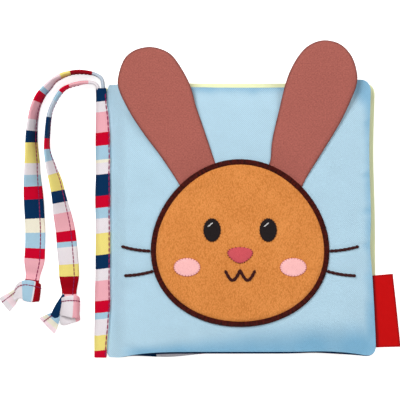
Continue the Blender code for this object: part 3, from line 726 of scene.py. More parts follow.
# Place on a leaf's plan from grid coordinates, how near the seam it is, and the rim beyond it
def leafPlan(u, v, left, edges):
    s, drawn = leafSettings, edgeSettings[edges]
    right, high = s["foreEdge"], s["height"] / 2
    centre, wide = (left + right) / 2, (right - left) / 2
    level = max(abs(u), abs(v))
    if level < 1e-9:
        return centre, 0.0, 0.0, Vector((0, 0))
    reach = 1.0 - (1.0 - level) ** s["ringPower"]
    rim = Vector((wide * u / level, high * v / level))
    spineRadius = s["joinedRadius"] if left < s["left"] else s["spineCornerRadius"]
    radius = s["cornerRadius"] if rim.x > 0 else spineRadius
    inner = Vector([max(radius - half, min(half - radius, at)) for at, half in zip(rim, (wide, high))])
    if (rim - inner).length > 1e-9:
        rim = inner + (rim - inner).normalized() * radius
    across = max(-1.0, min(1.0, (centre + rim.x - s["centre"]) / s["halfWide"]))
    along = rim.y / high
    if rim.x > 0:
        rim.x -= drawnSide(drawn, along) * rim.x / wide
    pull = drawnEnd(drawn, centre + rim.x, across, along) * along ** edgeSettings["depthPower"]
    rim.y -= pull if along > 0 else -pull
    return centre + rim.x * reach, rim.y * reach, level, rim


padSettings = {
    "cells": 40, "frames": 20, "cap": 16 * mm, "thin": 0.35 * mm, "fullShare": 0.9, "most": 1.15,
    "fabric": {"quality": 5, "mass": 0.15, "tension_stiffness": 12, "compression_stiffness": 6,
               "bending_stiffness": 0.3, "use_pressure": True, "uniform_pressure_force": 4.0},
}


# Blows up a flat sewn envelope of a leaf's shape and gives how high each of its points stands
def simulatePad():
    s, count, left = padSettings, padSettings["cells"], leafSettings["left"]
    points, index, faces = [], {}, []
    for layer in (1, -1):
        for j in range(count + 1):
            for i in range(count + 1):
                if layer < 0 and (i in (0, count) or j in (0, count)):
                    index[layer, i, j] = index[1, i, j]
                    continue
                x, y, level, _ = leafPlan(2 * i / count - 1, 2 * j / count - 1, left, "pageOver")
                index[layer, i, j] = len(points)
                points.append((x, y, layer * s["thin"] * (1 - level ** 2)))
        for j in range(count):
            for i in range(count):
                corner = [index[layer, a, b] for a, b in ((i, j), (i + 1, j), (i + 1, j + 1), (i, j + 1))]
                faces.append(corner if layer > 0 else corner[::-1])
    mesh = bpy.data.meshes.new("padForm")
    mesh.from_pydata(points, [], faces)
    pad = link("padForm", mesh)
    fabric = pad.modifiers.new("Cloth", "CLOTH")
    for key, value in s["fabric"].items():
        setattr(fabric.settings, key, value)
    fabric.settings.effector_weights.gravity = 0
    fabric.point_cache.frame_start, fabric.point_cache.frame_end = 1, s["frames"]
    for step in range(1, s["frames"] + 1):
        scene.frame_set(step)
    swollen = pad.evaluated_get(bpy.context.evaluated_depsgraph_get()).to_mesh()
    rise = [max(0.0, min(s["cap"], swollen.vertices[index[1, i, j]].co.z))
            for j in range(count + 1) for i in range(count + 1)]
    scene.frame_set(1)
    bpy.data.objects.remove(pad)
    top = sorted(rise)[int(len(rise) * s["fullShare"])]
    print("pad simulated: stands", round(top / mm, 1), "mm high")
    return [min(s["most"], z / top) for z in rise]


padRise = simulatePad()


# Height share of the simulated pad at grid coordinates, or a plain dome while trying things
def padShare(u, v, turned):
    if turned:
        u, v = -u, -v
    if padRise is None:
        return (max(0.0, 1 - u ** 4) * max(0.0, 1 - v ** 4)) ** 0.6
    count = padSettings["cells"]
    a, b = (u + 1) / 2 * count, (v + 1) / 2 * count
    i, j = min(int(a), count - 1), min(int(b), count - 1)
    a, b, wide = a - i, b - j, count + 1
    near = padRise[j * wide + i] * (1 - a) + padRise[j * wide + i + 1] * a
    far = padRise[(j + 1) * wide + i] * (1 - a) + padRise[(j + 1) * wide + i + 1] * a
    return near * (1 - b) + far * b


# Creases: from x, y to x, y, then how wide and how deep, all in mm
coverCreases = (
    (70, 5.2, 60, 3.4, 2.0, 0.95), (69, -1.0, 61, 1.0, 1.7, 0.45), (69, 22.5, 61, 22, 1.8, 0.50),
    (-40, -64, -8, -57, 3.2, 0.40), (10, -63.5, 52, -58, 3.6, 0.34), (58, -68, 50, -52, 2.6, 0.34),
    (-56, -58, -40, -47, 3.0, 0.30), (-58, -40, -48, -36, 1.8, 0.22), (-58, 20, -46, 23, 1.8, 0.22),
    (-58, 52, -49, 49, 1.6, 0.18), (62, 60, 50, 50, 2.4, 0.26), (66, -28, 55, -33, 2.0, 0.40),
    (-50, 66, -44, 54, 2.2, 0.24), (-12, 66, -8, 53, 2.6, 0.26), (30, 66, 27, 55, 2.4, 0.24),
    (69, -12, 61, -13, 1.8, 0.50), (70, 49, 62, 48, 1.8, 0.50), (-61, -5, -55, -1.5, 1.6, 0.40),
)
pageCreases = ((70, 20, 52, 16, 2.4, 0.3), (-50, -60, -20, -50, 3, 0.3), (20, 66, 10, 48, 3, 0.3))


def creaseDepth(x, y, creases):
    depth = 0.0
    for x1, y1, x2, y2, wide, deep in creases:
        a, b, p = Vector((x1, y1)) * mm, Vector((x2, y2)) * mm, Vector((x, y))
        share = (p - a).dot(b - a) / (b - a).length_squared
        if -0.3 < share < 1.3:
            away = (p - a.lerp(b, share)).length
            ends = smooth(-0.3, 0.1, share) * smooth(1.3, 0.6, share)
            depth += deep * mm * ends * (bell(away, wide * mm) - 0.35 * bell(away, 2.6 * wide * mm))
    return depth


# Where a cover cloth lies on its way from the binding's mouth up to the pad: side is 1 for the outer one
def climbHeight(x, y, side):
    s = leafSettings
    climb = smooth(s["mouth"], s["climbEnd"], x)
    line = marginLevels["front_cover"] + side * s["parted"]
    swell = s["over"] if side > 0 else s["under"]
    pad = seams["front_cover"] + side * (s["gap"] + swell * crownShare(s["climbEnd"], y))
    return line + (pad - line) * climb


# Outer and inner cloth of one leaf as closed sheets; joined ones run on to the binding's mouth.
# over and under each give a piece's name, its cloth and its edges
def makeLeafCloths(leaf, left, over, under, seed, turned=False, creases=(), rests=False):
    s, count = leafSettings, leafSettings["cells"]
    seam, joined = seams[leaf], left < s["left"]

    def plan(i, j, edges):
        return leafPlan(2 * i / count - 1, 2 * j / count - 1, left, edges)

    def surface(i, j, side, rise):
        x, y, level, rim = plan(i, j, (over if side > 0 else under)[2])
        if joined and x < s["climbEnd"]:
            return x, y, climbHeight(x, y, side) + rise + (gathers(x, y) if side > 0 else 0)
        away = (1.0 - level) ** s["ringPower"] * s["halfWide"]
        share = crownShare(x, y)
        if side > 0:
            shareX = max(-1.0, min(1.0, (x - s["centre"]) / s["halfWide"]))
            shareY = max(-0.999, min(0.999, y / (s["height"] / 2)))
            pad = min(share, 1.0) * padShare(shareX * 0.999, shareY, turned)
            share += s["simulated"] * (pad - share) * (
                smooth(s["climbEnd"], s["climbEnd"] + s["padFrom"], x) if joined else 1)
        ripple = bumpy(rim.x, rim.y, s["puckerSize"], seed) + 0.6 * bumpy(
            rim.x, rim.y, s["puckerSize"] * 0.45, seed + 5)
        pucker = s["pucker"] * ripple * bell(away - s["puckerAt"], s["puckerReach"])
        broad = sum(deep * bumpy(x, y, size, seed + more) for deep, size, more in s["broad"])
        if side > 0:
            rough = pucker + broad - creaseDepth(x, y, creases)
            if joined:
                rough *= smooth(s["climbEnd"], s["climbEnd"] + s["roughFrom"], x)
                rise += coverExtra(x, y) + gathers(x, y)
            return x, y, seam + s["gap"] + s["over"] * share + share ** 0.5 * rough + rise
        drop = min(s["under"], (s["under"] + (s["rest"] if rests else 0)) * share)
        settle = 0.0 if rests or joined else 0.5 * (pucker - abs(broad))
        return x, y, seam - s["gap"] - drop + max(0.0, settle) * share + rise

    def place(i, j):
        return plan(i, j, over[2])[:2]

    pieces = []
    for (name, material, _), side, top, low in ((over, 1, s["cloth"], 0), (under, -1, 0, -s["cloth"])):
        mesh = gridShell(name, count, count, lambda i, j: surface(i, j, side, top),
                         lambda i, j: surface(i, j, side, low), place)
        pieces.append(link(name, mesh, cloth[material]))
    return pieces


# Places along X where the cover and the margins part, bend and end
splitCover = {"strip": -60.1 * mm, "leaf": -60.9 * mm, "bendStart": -63.0 * mm, "bendEnd": -57.5 * mm,
              "inside": -67.4 * mm, "marginEnd": -56.6 * mm, "reach": 66 * mm, "headInside": 64 * mm}


def bendOver(piece):
    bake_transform(piece)


# Painted shade on the cover's cloth: darker where the pad falls away towards the foot, away from the light,
# and on its steep rims near the seams
coverShade = {
    "foot": 2.5 * mm, "reach": (5.5 * mm, 13.5 * mm), "widens": (-60 * mm, 45 * mm), "soft": 3 * mm,
    "softFrom": (0, 45 * mm), "wave": (1.6 * mm, 17 * mm, 3.0), "cloud": (0.2, 11 * mm, 7.0),
    "spine": (-60 * mm, -46 * mm), "rimSpine": (-48 * mm, -44 * mm), "slope": (0.35, 0.75, 0.6),
    "rim": (2.0 * mm, 0.9 * mm, 0.85),
}


def paintedCoverShade(vertex):
    s = coverShade
    x, y, z = vertex.co
    foot = s["foot"] - leafSettings["height"] / 2
    waveDeep, waveSize, waveSeed = s["wave"]
    cloudDeep, cloudSize, cloudSeed = s["cloud"]
    reach = s["reach"][0] + s["reach"][1] * smooth(*s["widens"], x)
    inside = y - foot - waveDeep * bumpy(x, 0, waveSize, waveSeed)
    fall = smooth(reach, s["soft"] * smooth(*s["softFrom"], x), inside) * smooth(*s["spine"], x)
    fall *= 0.97 + cloudDeep * bumpy(x, y * 0.5, cloudSize, cloudSeed)
    gentle, steep, slopeDeep = s["slope"]
    high, low, rimDeep = s["rim"]
    rim = max(slopeDeep * smooth(gentle, steep, math.hypot(vertex.normal.x, vertex.normal.y)),
              rimDeep * smooth(high, low, z - seams["front_cover"]))
    return max(fall, rim * smooth(*s["rimSpine"], x))


def makeLeaves():
    left = leafSettings["left"]
    back, backUnder = makeLeafCloths("back_cover", left, ("backCoverInner", "navy", "backOver"),
                                     ("backCoverOuter", "back", "backUnder"), 3.1, turned=True, rests=True)
    page, pageUnder = makeLeafCloths("page", left, ("pageFront", "lime", "pageOver"),
                                     ("pageBack", "lime", "pageUnder"), 7.7, creases=pageCreases)
    finishPiece(back, "back_cover", "navy_cotton", "back_cover_inner_cloth")
    finishPiece(backUnder, "back_cover", "striped_cotton", "back_cover_outer_cloth")
    finishPiece(page, "inner_page", "lime_cotton", "page_front_cloth")
    finishPiece(pageUnder, "inner_page", "lime_cotton", "page_back_cloth")
    cover, coverUnder = makeLeafCloths(
        "front_cover", splitCover["leaf"], ("frontCoverOuter", "blue", "coverOver"),
        ("frontCoverInner", "navy", "coverUnder"), 1.3, creases=coverCreases)
    for piece, slot, node in ((cover, "light_blue_cotton", "front_cover_outer_cloth"),
                              (coverUnder, "navy_cotton", "front_cover_inner_cloth")):
        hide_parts(node)
        bendOver(piece)
    # Paints shade into the front cover's outer cloth
    paintShade(cover.data, paintedCoverShade)
    return BVHTree.FromPolygons([v.co.copy() for v in cover.data.vertices],
                                [p.vertices[:] for p in cover.data.polygons])


coverTree = makeLeaves()


# Height of the front cover's cloth, found on its own mesh
def coverTop(x, y):
    hit = coverTree.ray_cast(Vector((x, y, 0.05)), Vector((0, 0, -1)))[0]
    return hit.z if hit else seams["front_cover"] + leafSettings["cloth"]


# Two cloths stitched flat: the unpadded stretch from inside the binding towards a leaf
marginSettings = {"columns": 14, "rows": 60, "slip": (-64.6 * mm, -62.8 * mm), "tuck": 0.02 * mm,
                  "apart": 0.04 * mm, "ripple": (0.10 * mm, 5 * mm, 3.0)}


def makeMargin(name, leaf, end, upper, lower):
    s, own = splitCover, marginSettings
    start, columns, rows = s["inside"], own["columns"], own["rows"]
    joins = leaf == "front_cover"
    ends = [leafPlan(-1, v, s["leaf"], "coverOver")[1] for v in (-1, 1)]

    def at(i, j, side, outside):
        x = start + (end - start) * i / columns
        foot, head = -s["reach"], s["reach"]
        if joins:
            slip = smooth(*own["slip"], x)
            foot = -s["reach"] + (ends[0] + s["reach"]) * slip
            head = s["headInside"] + (ends[1] - s["headInside"]) * slip
        y = foot + (head - foot) * j / rows
        if joins:
            thick = leafSettings["cloth"] - own["tuck"] if outside else own["apart"]
            return x, y, climbHeight(x, y, side) + side * thick
        deep, size, seed = own["ripple"]
        rise = smooth(leafSettings["mouth"], leafSettings["left"], x)
        ripple = deep * bumpy(x * 0.3, y, size, seed) * rise
        middle = marginLevels[leaf] + (seams[leaf] - marginLevels[leaf]) * rise + ripple
        return x, y, middle + side * (halfMargin if outside else own["tuck"])

    pieces = []
    for label, side, material in ((name, 1, upper), (name + "Under", -1, lower)):
        mesh = gridShell(label, columns, rows, lambda i, j: at(i, j, side, side > 0),
                         lambda i, j: at(i, j, side, side < 0), lambda i, j: at(i, j, side, True)[:2])
        pieces.append(link(label, mesh, cloth[material]))
    return pieces


def makeMargins():
    s = splitCover
    back = makeMargin("backCoverMargin", "back_cover", s["marginEnd"], "navy", "back")
    page = makeMargin("pageMargin", "page", s["marginEnd"], "lime", "lime")
    front = makeMargin("frontCoverMargin", "front_cover", s["strip"], "blue", "navy")
    for pair, slots, node in ((back, ("navy_cotton", "striped_cotton"), "back_cover_margin"),
                              (page, ("lime_cotton", "lime_cotton"), "page_margin"),
                              (front, ("light_blue_cotton", "navy_cotton"), "front_cover_margin")):
        for piece, slot in zip(pair, slots):
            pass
        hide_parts(node)
    for piece in back:
        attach(piece, "back_cover")
    for piece in page:
        bendOver(piece)
    for piece in front:
        bendOver(piece)


makeMargins()
print("leaves and margins made")


# Spine binding: one striped strip folded round the margins, topstitched at its edge
spineSettings = {
    "outer": -70 * mm, "width": 7 * mm, "foot": -69 * mm, "head": 66 * mm, "middle": 7.15 * mm,
    "halfDepth": 2.95 * mm, "cloth": 0.7 * mm, "radius": 2.0 * mm, "rows": 190, "slant": 0.11,
    "flatSteps": 5, "arcSteps": 7, "inset": 0.9 * mm, "insetReach": 3 * mm, "footFull": 30 * mm,
    "headNarrow": 1.4 * mm, "headReach": 16 * mm, "swell": 0.5 * mm, "tip": (2 * mm, 0.5 * mm),
    "stitchInset": 0.5 * mm, "stitch": 2.5 * mm, "stitchGap": 0.25 * mm, "thread": 0.32 * mm,
    "grooveWide": 0.8 * mm, "grooveDeep": 0.28 * mm, "lobeDeep": 0.10 * mm, "lobeOut": 0.15 * mm,
    "routeSteps": 160, "routeInset": 0.6 * mm, "threadBow": 0.16 * mm, "threadSink": 0.12 * mm,
    # depth, size and seed of the uneven mouth, fold, puffs and cut
    "mouthWave": (0.22 * mm, 9 * mm, 2.0), "foldWave": (0.45 * mm, 17 * mm, 6.0),
    "puffWave": (0.26 * mm, 6 * mm, 4.0), "cutWave": (0.3 * mm, 21 * mm, 9.0),
}


def wave(kind, x, y):
    deep, size, seed = spineSettings[kind]
    return deep * bumpy(x, y, size, seed)


# Half of the strip's section runs in to the fold, and the other half comes back
def spineProfile():
    s = spineSettings
    mouth, flat, half = s["outer"] + s["width"], s["width"] - s["radius"], s["halfDepth"]
    steps = range(s["flatSteps"])
    profile = [(mouth - flat * k / s["flatSteps"], -half) for k in steps]
    for centre, first in ((-half + s["radius"], -90), (half - s["radius"], -180)):
        for k in range(s["arcSteps"] + 1):
            turn = math.radians(first - k * 90 / s["arcSteps"])
            profile.append((s["outer"] + s["radius"] + s["radius"] * math.cos(turn),
                            centre + s["radius"] * math.sin(turn)))
    return profile + [(mouth - flat * k / s["flatSteps"], half) for k in reversed(steps)]


def makeSpine():
    s = spineSettings
    mouth, profile = s["outer"] + s["width"], spineProfile()
    count, run = len(profile) - 1, lengthsAlong([Vector(p) for p in profile])
    pitch = s["stitch"] + s["stitchGap"]

    # The mouth's edge draws back near both ends
    def edgeAt(y):
        narrow = bell(y - s["head"], s["headReach"]) + bell(y - s["foot"], s["headReach"])
        return mouth + s["swell"] - (s["headNarrow"] + s["swell"]) * narrow + wave("mouthWave", y, 0)

    def at(i, j, grow):
        x, z = profile[i]
        y = s["foot"] + (s["head"] - s["foot"]) * j / s["rows"]
        nextX, nextZ = profile[min(i + 1, count)]
        backX, backZ = profile[max(i - 1, 0)]
        normal = Vector((-(nextZ - backZ), nextX - backX)).normalized()
        x, z = x + normal.x * grow, z + normal.y * grow
        upper = 1 if z > 0 else -1
        lobe = abs(math.sin(math.pi * (y - s["foot"]) / pitch))
        groove = s["grooveDeep"] + s["lobeDeep"] * lobe
        groove *= bell(x - mouth + s["stitchInset"], s["grooveWide"])
        edge = smooth(s["outer"] + s["radius"], mouth, x)
        x += edge * (edgeAt(y) - mouth + s["lobeOut"] * (lobe - 0.5))
        x += (1 - smooth(s["outer"], s["outer"] + s["insetReach"], x)) * (
            s["inset"] * (1 - 0.7 * bell(y - s["foot"], s["footFull"])) - wave("foldWave", y, 4))
        tipReach, tipDeep = s["tip"]
        tip = smooth(s["head"] - tipReach, s["head"], y) + smooth(s["foot"] + tipReach, s["foot"], y)
        z += upper * (wave("puffWave", y, x * 2) * (1 - edge) - groove - tipDeep * tip * (1 - edge))
        return x, y, s["middle"] + z

    def place(i, j):
        x, y, _ = at(i, j, 0)
        return run[i], y - s["slant"] * (x - mouth) + wave("cutWave", y, x)

    mesh = gridShell("spineBinding", count, s["rows"], lambda i, j: at(i, j, s["cloth"]),
                     lambda i, j: at(i, j, 0), place)
    finishPiece(link("spineBinding", mesh, cloth["spine"]), "back_cover", "striped_cotton", "spine_binding")
    for side, name in ((1, "spineStitchesTop"), (-1, "spineStitchesUnder")):
        route, level = [], s["middle"] + side * (s["halfDepth"] + s["cloth"] - s["threadSink"])
        for k in range(s["routeSteps"] + 1):
            share = k / s["routeSteps"]
            y = s["foot"] + s["routeInset"] + (s["head"] - s["foot"] - 2 * s["routeInset"]) * share
            route.append(Vector((edgeAt(y) - s["stitchInset"], y, level)))
        row = stitchRow(name, route, s["thread"], s["stitch"], s["stitchGap"], side * s["threadBow"],
                        cloth["magenta"], sink=0.3 * side)
        finishPiece(row, "back_cover", "maroon_thread")


makeSpine()
print("spine made")


# Ties: flat sewn straps that stand on their edge where they bend and lie flat at their knots
tieSettings = {
    "width": 10.2 * mm, "thick": 1.9 * mm, "lift": 0.2 * mm, "approach": 7.5 * mm, "root": 66 * mm,
    "rootWide": 5.4 * mm, "rootLevel": 7.15 * mm, "rootReach": 12, "wideReach": 26, "hidden": 2,
    "buried": 4, "step": 1.0 * mm, "seamAt": -0.25, "stitch": 2, "thread": 0.26 * mm, "bandThick": 1.3 * mm,
    "sides": 26, "cutStart": 0.02, "groove": (0.42, 0.7 * mm), "stitchBow": 0.16 * mm,
    "bandStep": 0.6 * mm, "ruffle": 0.4 * mm, "crumple": (0.30 * mm, 2.6 * mm),
    "coreRings": 16, "coreSides": 24, "coreFold": 0.08, "narrowing": (15, 5),
    "uneven": (0.35 * mm, 11 * mm), "lumps": (0.18, 5 * mm), "bandLumps": (0.2, 3 * mm),
    # For each tie: its route, x and y from the head of the spine in mm and how far the strap stands
    # up, and its knot's core, x and y in mm and half its width, length and height. Then its bands,
    # the last one its tail: first place on the cloth, stitched side, the way that its width points
    # in degrees, and x, y, z, width in mm
    "outer": {
        "route": (
            (-65.8, -1.2, 1), (-66.1, 0.8, 1), (-67.0, 5.0, 1), (-71.2, 7.4, 0.97), (-78.5, 8.3, 0.95),
            (-85.5, 6.9, 0.92), (-90.5, 4.2, 0.87), (-93.8, 0.8, 0.80), (-97.4, -3.5, 0.77),
            (-100.2, -9.8, 0.74), (-101.6, -18.0, 0.70), (-102.1, -26.0, 0.65), (-101.8, -35.0, 0.53),
            (-101.7, -43.5, 0.44), (-101.3, -52.0, 0.24), (-100.8, -61.0, 0.12), (-100.3, -73.0, 0.05),
            (-100.6, -84.0, 0), (-101.7, -95.6, 0), (-102.4, -99.6, 0)),
        "climb": 3.4 * mm, "narrow": 0.30, "seed": 1.0,
        "core": (-103.2, -102.0, 4.3 * mm, 4.6 * mm, 3.2 * mm),
        "bands": (
            (134.4, 0.27, 83, (
                (-101.0, -103.2, 1.2, 8), (-98.6, -103.0, 2.4, 8.4), (-98.2, -102.8, 4.4, 8.8),
                (-99.2, -102.4, 6.2, 9.8), (-101.9, -101.9, 7.2, 10.8), (-104.8, -101.4, 7.0, 10.6),
                (-107.5, -101.6, 5.8, 9.0), (-109.8, -103.2, 4.2, 6.0), (-111.4, -104.8, 3.0, 5.0))),
            (155.9, 0.20, None, (
                (-109.2, -102.6, 3.9, 5.2), (-111.1, -104.3, 3.1, 5.8), (-113.0, -106.2, 2.2, 7.4),
                (-114.8, -107.8, 1.6, 8.4), (-116.0, -108.8, 1.3, 8.6)))),
    },
    "inner": {
        "route": (
            (-68.3, -1.2, 1), (-69.0, 1.1, 1), (-70.8, 2.7, 1), (-75.5, 3.0, 0.97), (-81.5, 1.8, 0.96),
            (-86.6, -0.8, 0.96), (-90.6, -6.8, 0.95), (-93.0, -13.0, 0.94), (-94.0, -22.0, 0.91),
            (-94.2, -30.8, 0.88), (-92.3, -39.0, 0.72), (-89.9, -47.0, 0.60), (-88.2, -55.0, 0.54),
            (-86.7, -63.0, 0.36), (-85.2, -71.0, 0.18), (-84.3, -80.0, 0.08), (-83.4, -91.0, 0),
            (-83.2, -103.0, 0), (-83.1, -107.0, 0)),
        "climb": 3.6 * mm, "narrow": 0.27, "seed": 8.0,
        "core": (-83.0, -110.0, 4.2 * mm, 5.0 * mm, 3.3 * mm),
        "bands": (
            (126.0, 0.27, 88, (
                (-81.5, -110.3, 1.2, 9), (-78.9, -110.0, 2.6, 10), (-78.6, -109.8, 4.6, 10.6),
                (-79.6, -109.6, 6.6, 11.2), (-82.5, -109.4, 7.6, 11.2), (-85.3, -109.4, 7.0, 9.8),
                (-87.0, -109.7, 5.2, 8.8), (-87.4, -110.0, 3.2, 8), (-86.4, -110.2, 1.6, 7))),
            (129.7, None, 104, (
                (-80.5, -112.0, 1.2, 7), (-78.9, -112.8, 2.6, 7), (-79.7, -113.1, 4.2, 8),
                (-82.6, -113.9, 5.0, 8.2), (-86.0, -114.9, 4.2, 8.4), (-87.9, -115.2, 2.6, 7.2),
                (-87.4, -114.8, 1.2, 6))),
            (145.6, None, None, (
                (-86.0, -103.6, 3.0, 1.4), (-86.6, -105.2, 4.8, 2.0), (-87.8, -108.0, 5.6, 3.2),
                (-89.1, -111.0, 5.0, 3.9), (-90.0, -113.2, 3.8, 4.2), (-91.0, -114.8, 3.0, 4.0))),
            (161.6, 0.24, None, (
                (-88.0, -112.2, 3.6, 3.6), (-89.8, -114.1, 3.2, 5.2), (-91.9, -116.4, 2.3, 8.2),
                (-93.6, -118.3, 1.6, 10.4), (-94.6, -119.3, 1.3, 11.0)))),
    },
}
upright = Vector((0, 0, 1))


# Smooth points through a row of control points, evenly spaced in space. A fourth number of each
# point, where it has one, goes along
def smoothRoute(control, step):
    points = [control[0] * 2 - control[1], *control, control[-1] * 2 - control[-2]]
    fine, cuts = [], 24
    for a, b, c, d in zip(points, points[1:], points[2:], points[3:]):
        for k in range(cuts):
            t = k / cuts
            fine.append((b * 2 + (c - a) * t + (a * 2 - b * 5 + c * 4 - d) * t * t
                         + (b * 3 - a - c * 3 + d) * t ** 3) * 0.5)
    fine.append(points[-2])
    along = lengthsAlong([place.xyz for place in fine])
    count = max(2, round(along[-1] / step))
    out, k = [], 0
    for n in range(count + 1):
        want = along[-1] * n / count
        while k < len(along) - 2 and along[k + 1] < want:
            k += 1
        share = (want - along[k]) / max(along[k + 1] - along[k], 1e-12)
        out.append(fine[k].lerp(fine[k + 1], min(1.0, share)))
    return out


# Flat tube of folded cloth: round folds at its edges and a stitched groove along one side
def strapSection(width, thick, seam):
    out, sides, (deep, reach) = [], tieSettings["sides"], tieSettings["groove"]
    for n in range(sides):
        c, s = math.cos(2 * math.pi * n / sides), math.sin(2 * math.pi * n / sides)
        across = width / 2 * math.copysign(abs(c) ** 0.55, c)
        up = thick / 2 * math.copysign(abs(s) ** 0.75, s)
        if seam is not None:
            up *= 1 - deep * bell(across - seam * width, reach)
        out.append((across, up))
    return out


# Points, faces and places on the cloth of a strap with a side and an up direction at every point
def strapParts(points, frames, widthAt, thickAt, start, seam):
    return carry(points, frames, lambda k: strapSection(widthAt(k), thickAt(k), seam),
                 lambda across, share: across + tieSettings["cutStart"], start)


# Stitches along a strap's seam on one of its faces, as parts to gather
def seamStitches(points, frames, widthAt, thickAt, seam, face, first=0, last=None):
    s = tieSettings
    last = len(points) - 1 if last is None else last
    route = [point + side * seam * widthAt(k) + up * face * thickAt(k) * 0.36
             for k, (point, (side, up)) in enumerate(zip(points, frames))]
    radii = [s["thread"] * share for share in (0.5, 0.95, 1.0, 0.95, 0.5)]
    parts = []
    for at in range(first, last - s["stitch"] + 1, s["stitch"]):
        up = frames[at + 1][1]
        a, b = route[at].lerp(route[at + 1], 0.15), route[at + s["stitch"]]
        middle = route[at + 1] + up * face * s["stitchBow"]
        line = [a, a.lerp(middle, 0.6), middle, b.lerp(middle, 0.6), b]
        parts.append(sweep(line, lambda k: roundSection(radii[k], 6), up=up))
    return parts


def makeStrap(side):
    s, own = tieSettings, tieSettings[side]
    flat = smoothRoute([Vector((x * mm, s["root"] + y * mm, 0, stands)) for x, y, stands in own["route"]],
                       s["step"])
    count, last, points, frames = len(flat), flat[-1].xyz, [], []

    def widthAt(k):
        deep, size = s["uneven"]
        start, end = s["narrowing"]
        wide = s["width"] * (1 - own["narrow"] * smooth(count - start, count - end, k))
        wide += deep * bumpy(k * mm, 0, size, own["seed"])
        return s["rootWide"] + (wide - s["rootWide"]) * smooth(s["hidden"], s["wideReach"], k)

    def thickAt(k):
        deep, size = s["lumps"]
        return s["thick"] * (1 + deep * bumpy(k * mm, 9, size, own["seed"]))

    for k, (place, tangent) in enumerate(zip(flat, tangentsOf([place.xyz for place in flat]))):
        turn = min(1.0, max(0.0, place.w)) * math.pi / 2
        near = max(0.0, 1.0 - (place.xyz - last).length / s["approach"])
        rise = s["lift"] + (widthAt(k) * math.sin(turn) + s["thick"] * math.cos(turn)) / 2
        rise += (s["rootLevel"] - rise) * smooth(s["rootReach"], s["hidden"], k)
        out = tangent.cross(upright)
        points.append(Vector((place.x, place.y, rise + own["climb"] * smooth(0, 1, near))))
        frames.append((out * math.cos(turn) + upright * math.sin(turn),
                       upright * math.cos(turn) - out * math.sin(turn)))
    name = side + "Tie"
    parts = strapParts(points, frames, widthAt, thickAt, -s["hidden"] * s["step"], s["seamAt"])
    strap = link(name, meshFrom(name, *parts), cloth[name])
    stitches = []
    for face in (1, -1):
        stitches += seamStitches(points, frames, widthAt, thickAt, s["seamAt"], face,
                                 s["rootReach"], count - s["buried"])
    name += "Stitches"
    thread = link(name, meshFrom(name, *gather(stitches)), cloth["magenta"])
    return strap, thread, points[s["hidden"]:count - s["buried"]]


# One band of a knot: a strap drawn over the core, flat against it
def makeBand(own, band, ruffle=0.0):
    s, (start, seam, across, control) = tieSettings, band
    route = smoothRoute([Vector((x * mm, s["root"] + y * mm, z * mm, wide * mm))
                         for x, y, z, wide in control], s["bandStep"])
    points, frames = [place.xyz for place in route], []
    for tangent in tangentsOf(points):
        out = tangent.cross(upright)
        if across:
            out = Vector((math.cos(math.radians(across)), math.sin(math.radians(across)), 0))
            out -= tangent * out.dot(tangent)
        out.normalize()
        frames.append((out, out.cross(tangent)))

    def widthAt(k):
        return route[k].w

    def thickAt(k):
        deep, size = s["bandLumps"]
        return s["bandThick"] * (1 + deep * bumpy(k * s["bandStep"], start, size, own["seed"]))

    verts, faces, places = strapParts(points, frames, widthAt, thickAt, start * mm, seam)
    deep, size = s["crumple"]
    for n, (point, (_, cut)) in enumerate(zip(verts, places)):
        share = n // s["sides"] / (len(points) - 1)
        point.z += ruffle * share * math.sin((cut - s["cutStart"]) / mm * 1.1 + own["seed"])
        point.z += deep * bumpy(point.x, point.y, size, own["seed"])
        point.z = max(s["lift"], point.z)
    stitches = []
    if seam is not None:
        stitches = seamStitches(points, frames, widthAt, thickAt, seam, 1)
    return (verts, faces, places), stitches


# The rounded mass that a knot's bands lie on
def makeCore(own):
    s, (x, y, wide, long, high) = tieSettings, own["core"]
    centre = Vector((x * mm, s["root"] + y * mm, s["lift"] + high))
    verts, faces, places, rings, sides = [], [], [], s["coreRings"], s["coreSides"]
    for k in range(rings + 1):
        tall = math.pi * k / rings
        for n in range(sides):
            turn = 2 * math.pi * n / sides
            a, b, c = math.sin(tall) * math.cos(turn), -math.cos(tall), math.sin(tall) * math.sin(turn)
            fold = 1 - s["coreFold"] * abs(math.sin(2.5 * turn + b * 2.2)) ** 3
            verts.append(centre + Vector((a * wide * fold, b * long, c * high)))
            places.append((own["bands"][-2][0] * mm + b * long, a * wide + s["cutStart"]))
    for k in range(rings):
        for n in range(sides):
            m = (n + 1) % sides
            faces.append((k * sides + n, (k + 1) * sides + n, (k + 1) * sides + m, k * sides + m))
    return verts, faces, places


def makeKnot(side):
    own, fabric = tieSettings[side], cloth[side + "Tie"]
    bands = [makeBand(own, band) for band in own["bands"][:-1]]
    tailParts, tailStitches = makeBand(own, own["bands"][-1], tieSettings["ruffle"])
    name = side + "TieKnot"
    parts = [makeCore(own)] + [strap for strap, _ in bands]
    knot = link(name, meshFrom(name, *gather(parts), sharp=60), fabric)
    name = side + "TieTail"
    tail = link(name, meshFrom(name, *tailParts), fabric)
    name = side + "KnotStitches"
    stitches = sum((threads for _, threads in bands), []) + tailStitches
    return knot, tail, link(name, meshFrom(name, *gather(stitches)), cloth["magenta"])


def makeTies():
    for side in ("outer", "inner"):
        strap, thread, path = makeStrap(side)
        knot, tail, knotThread = makeKnot(side)
        for piece, node in ((strap, "_tie"), (knot, "_tie_knot"), (tail, "_tie_tail")):
            finishPiece(piece, "back_cover", "striped_cotton", side + node)
        for piece in (thread, knotThread):
            finishPiece(piece, "back_cover", "maroon_thread")
        length = lengthsAlong(path)[-1]
        tuple(path[0])
        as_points(path)
        print(side, "tie is", round(length / mm, 1), "mm long")


makeTies()


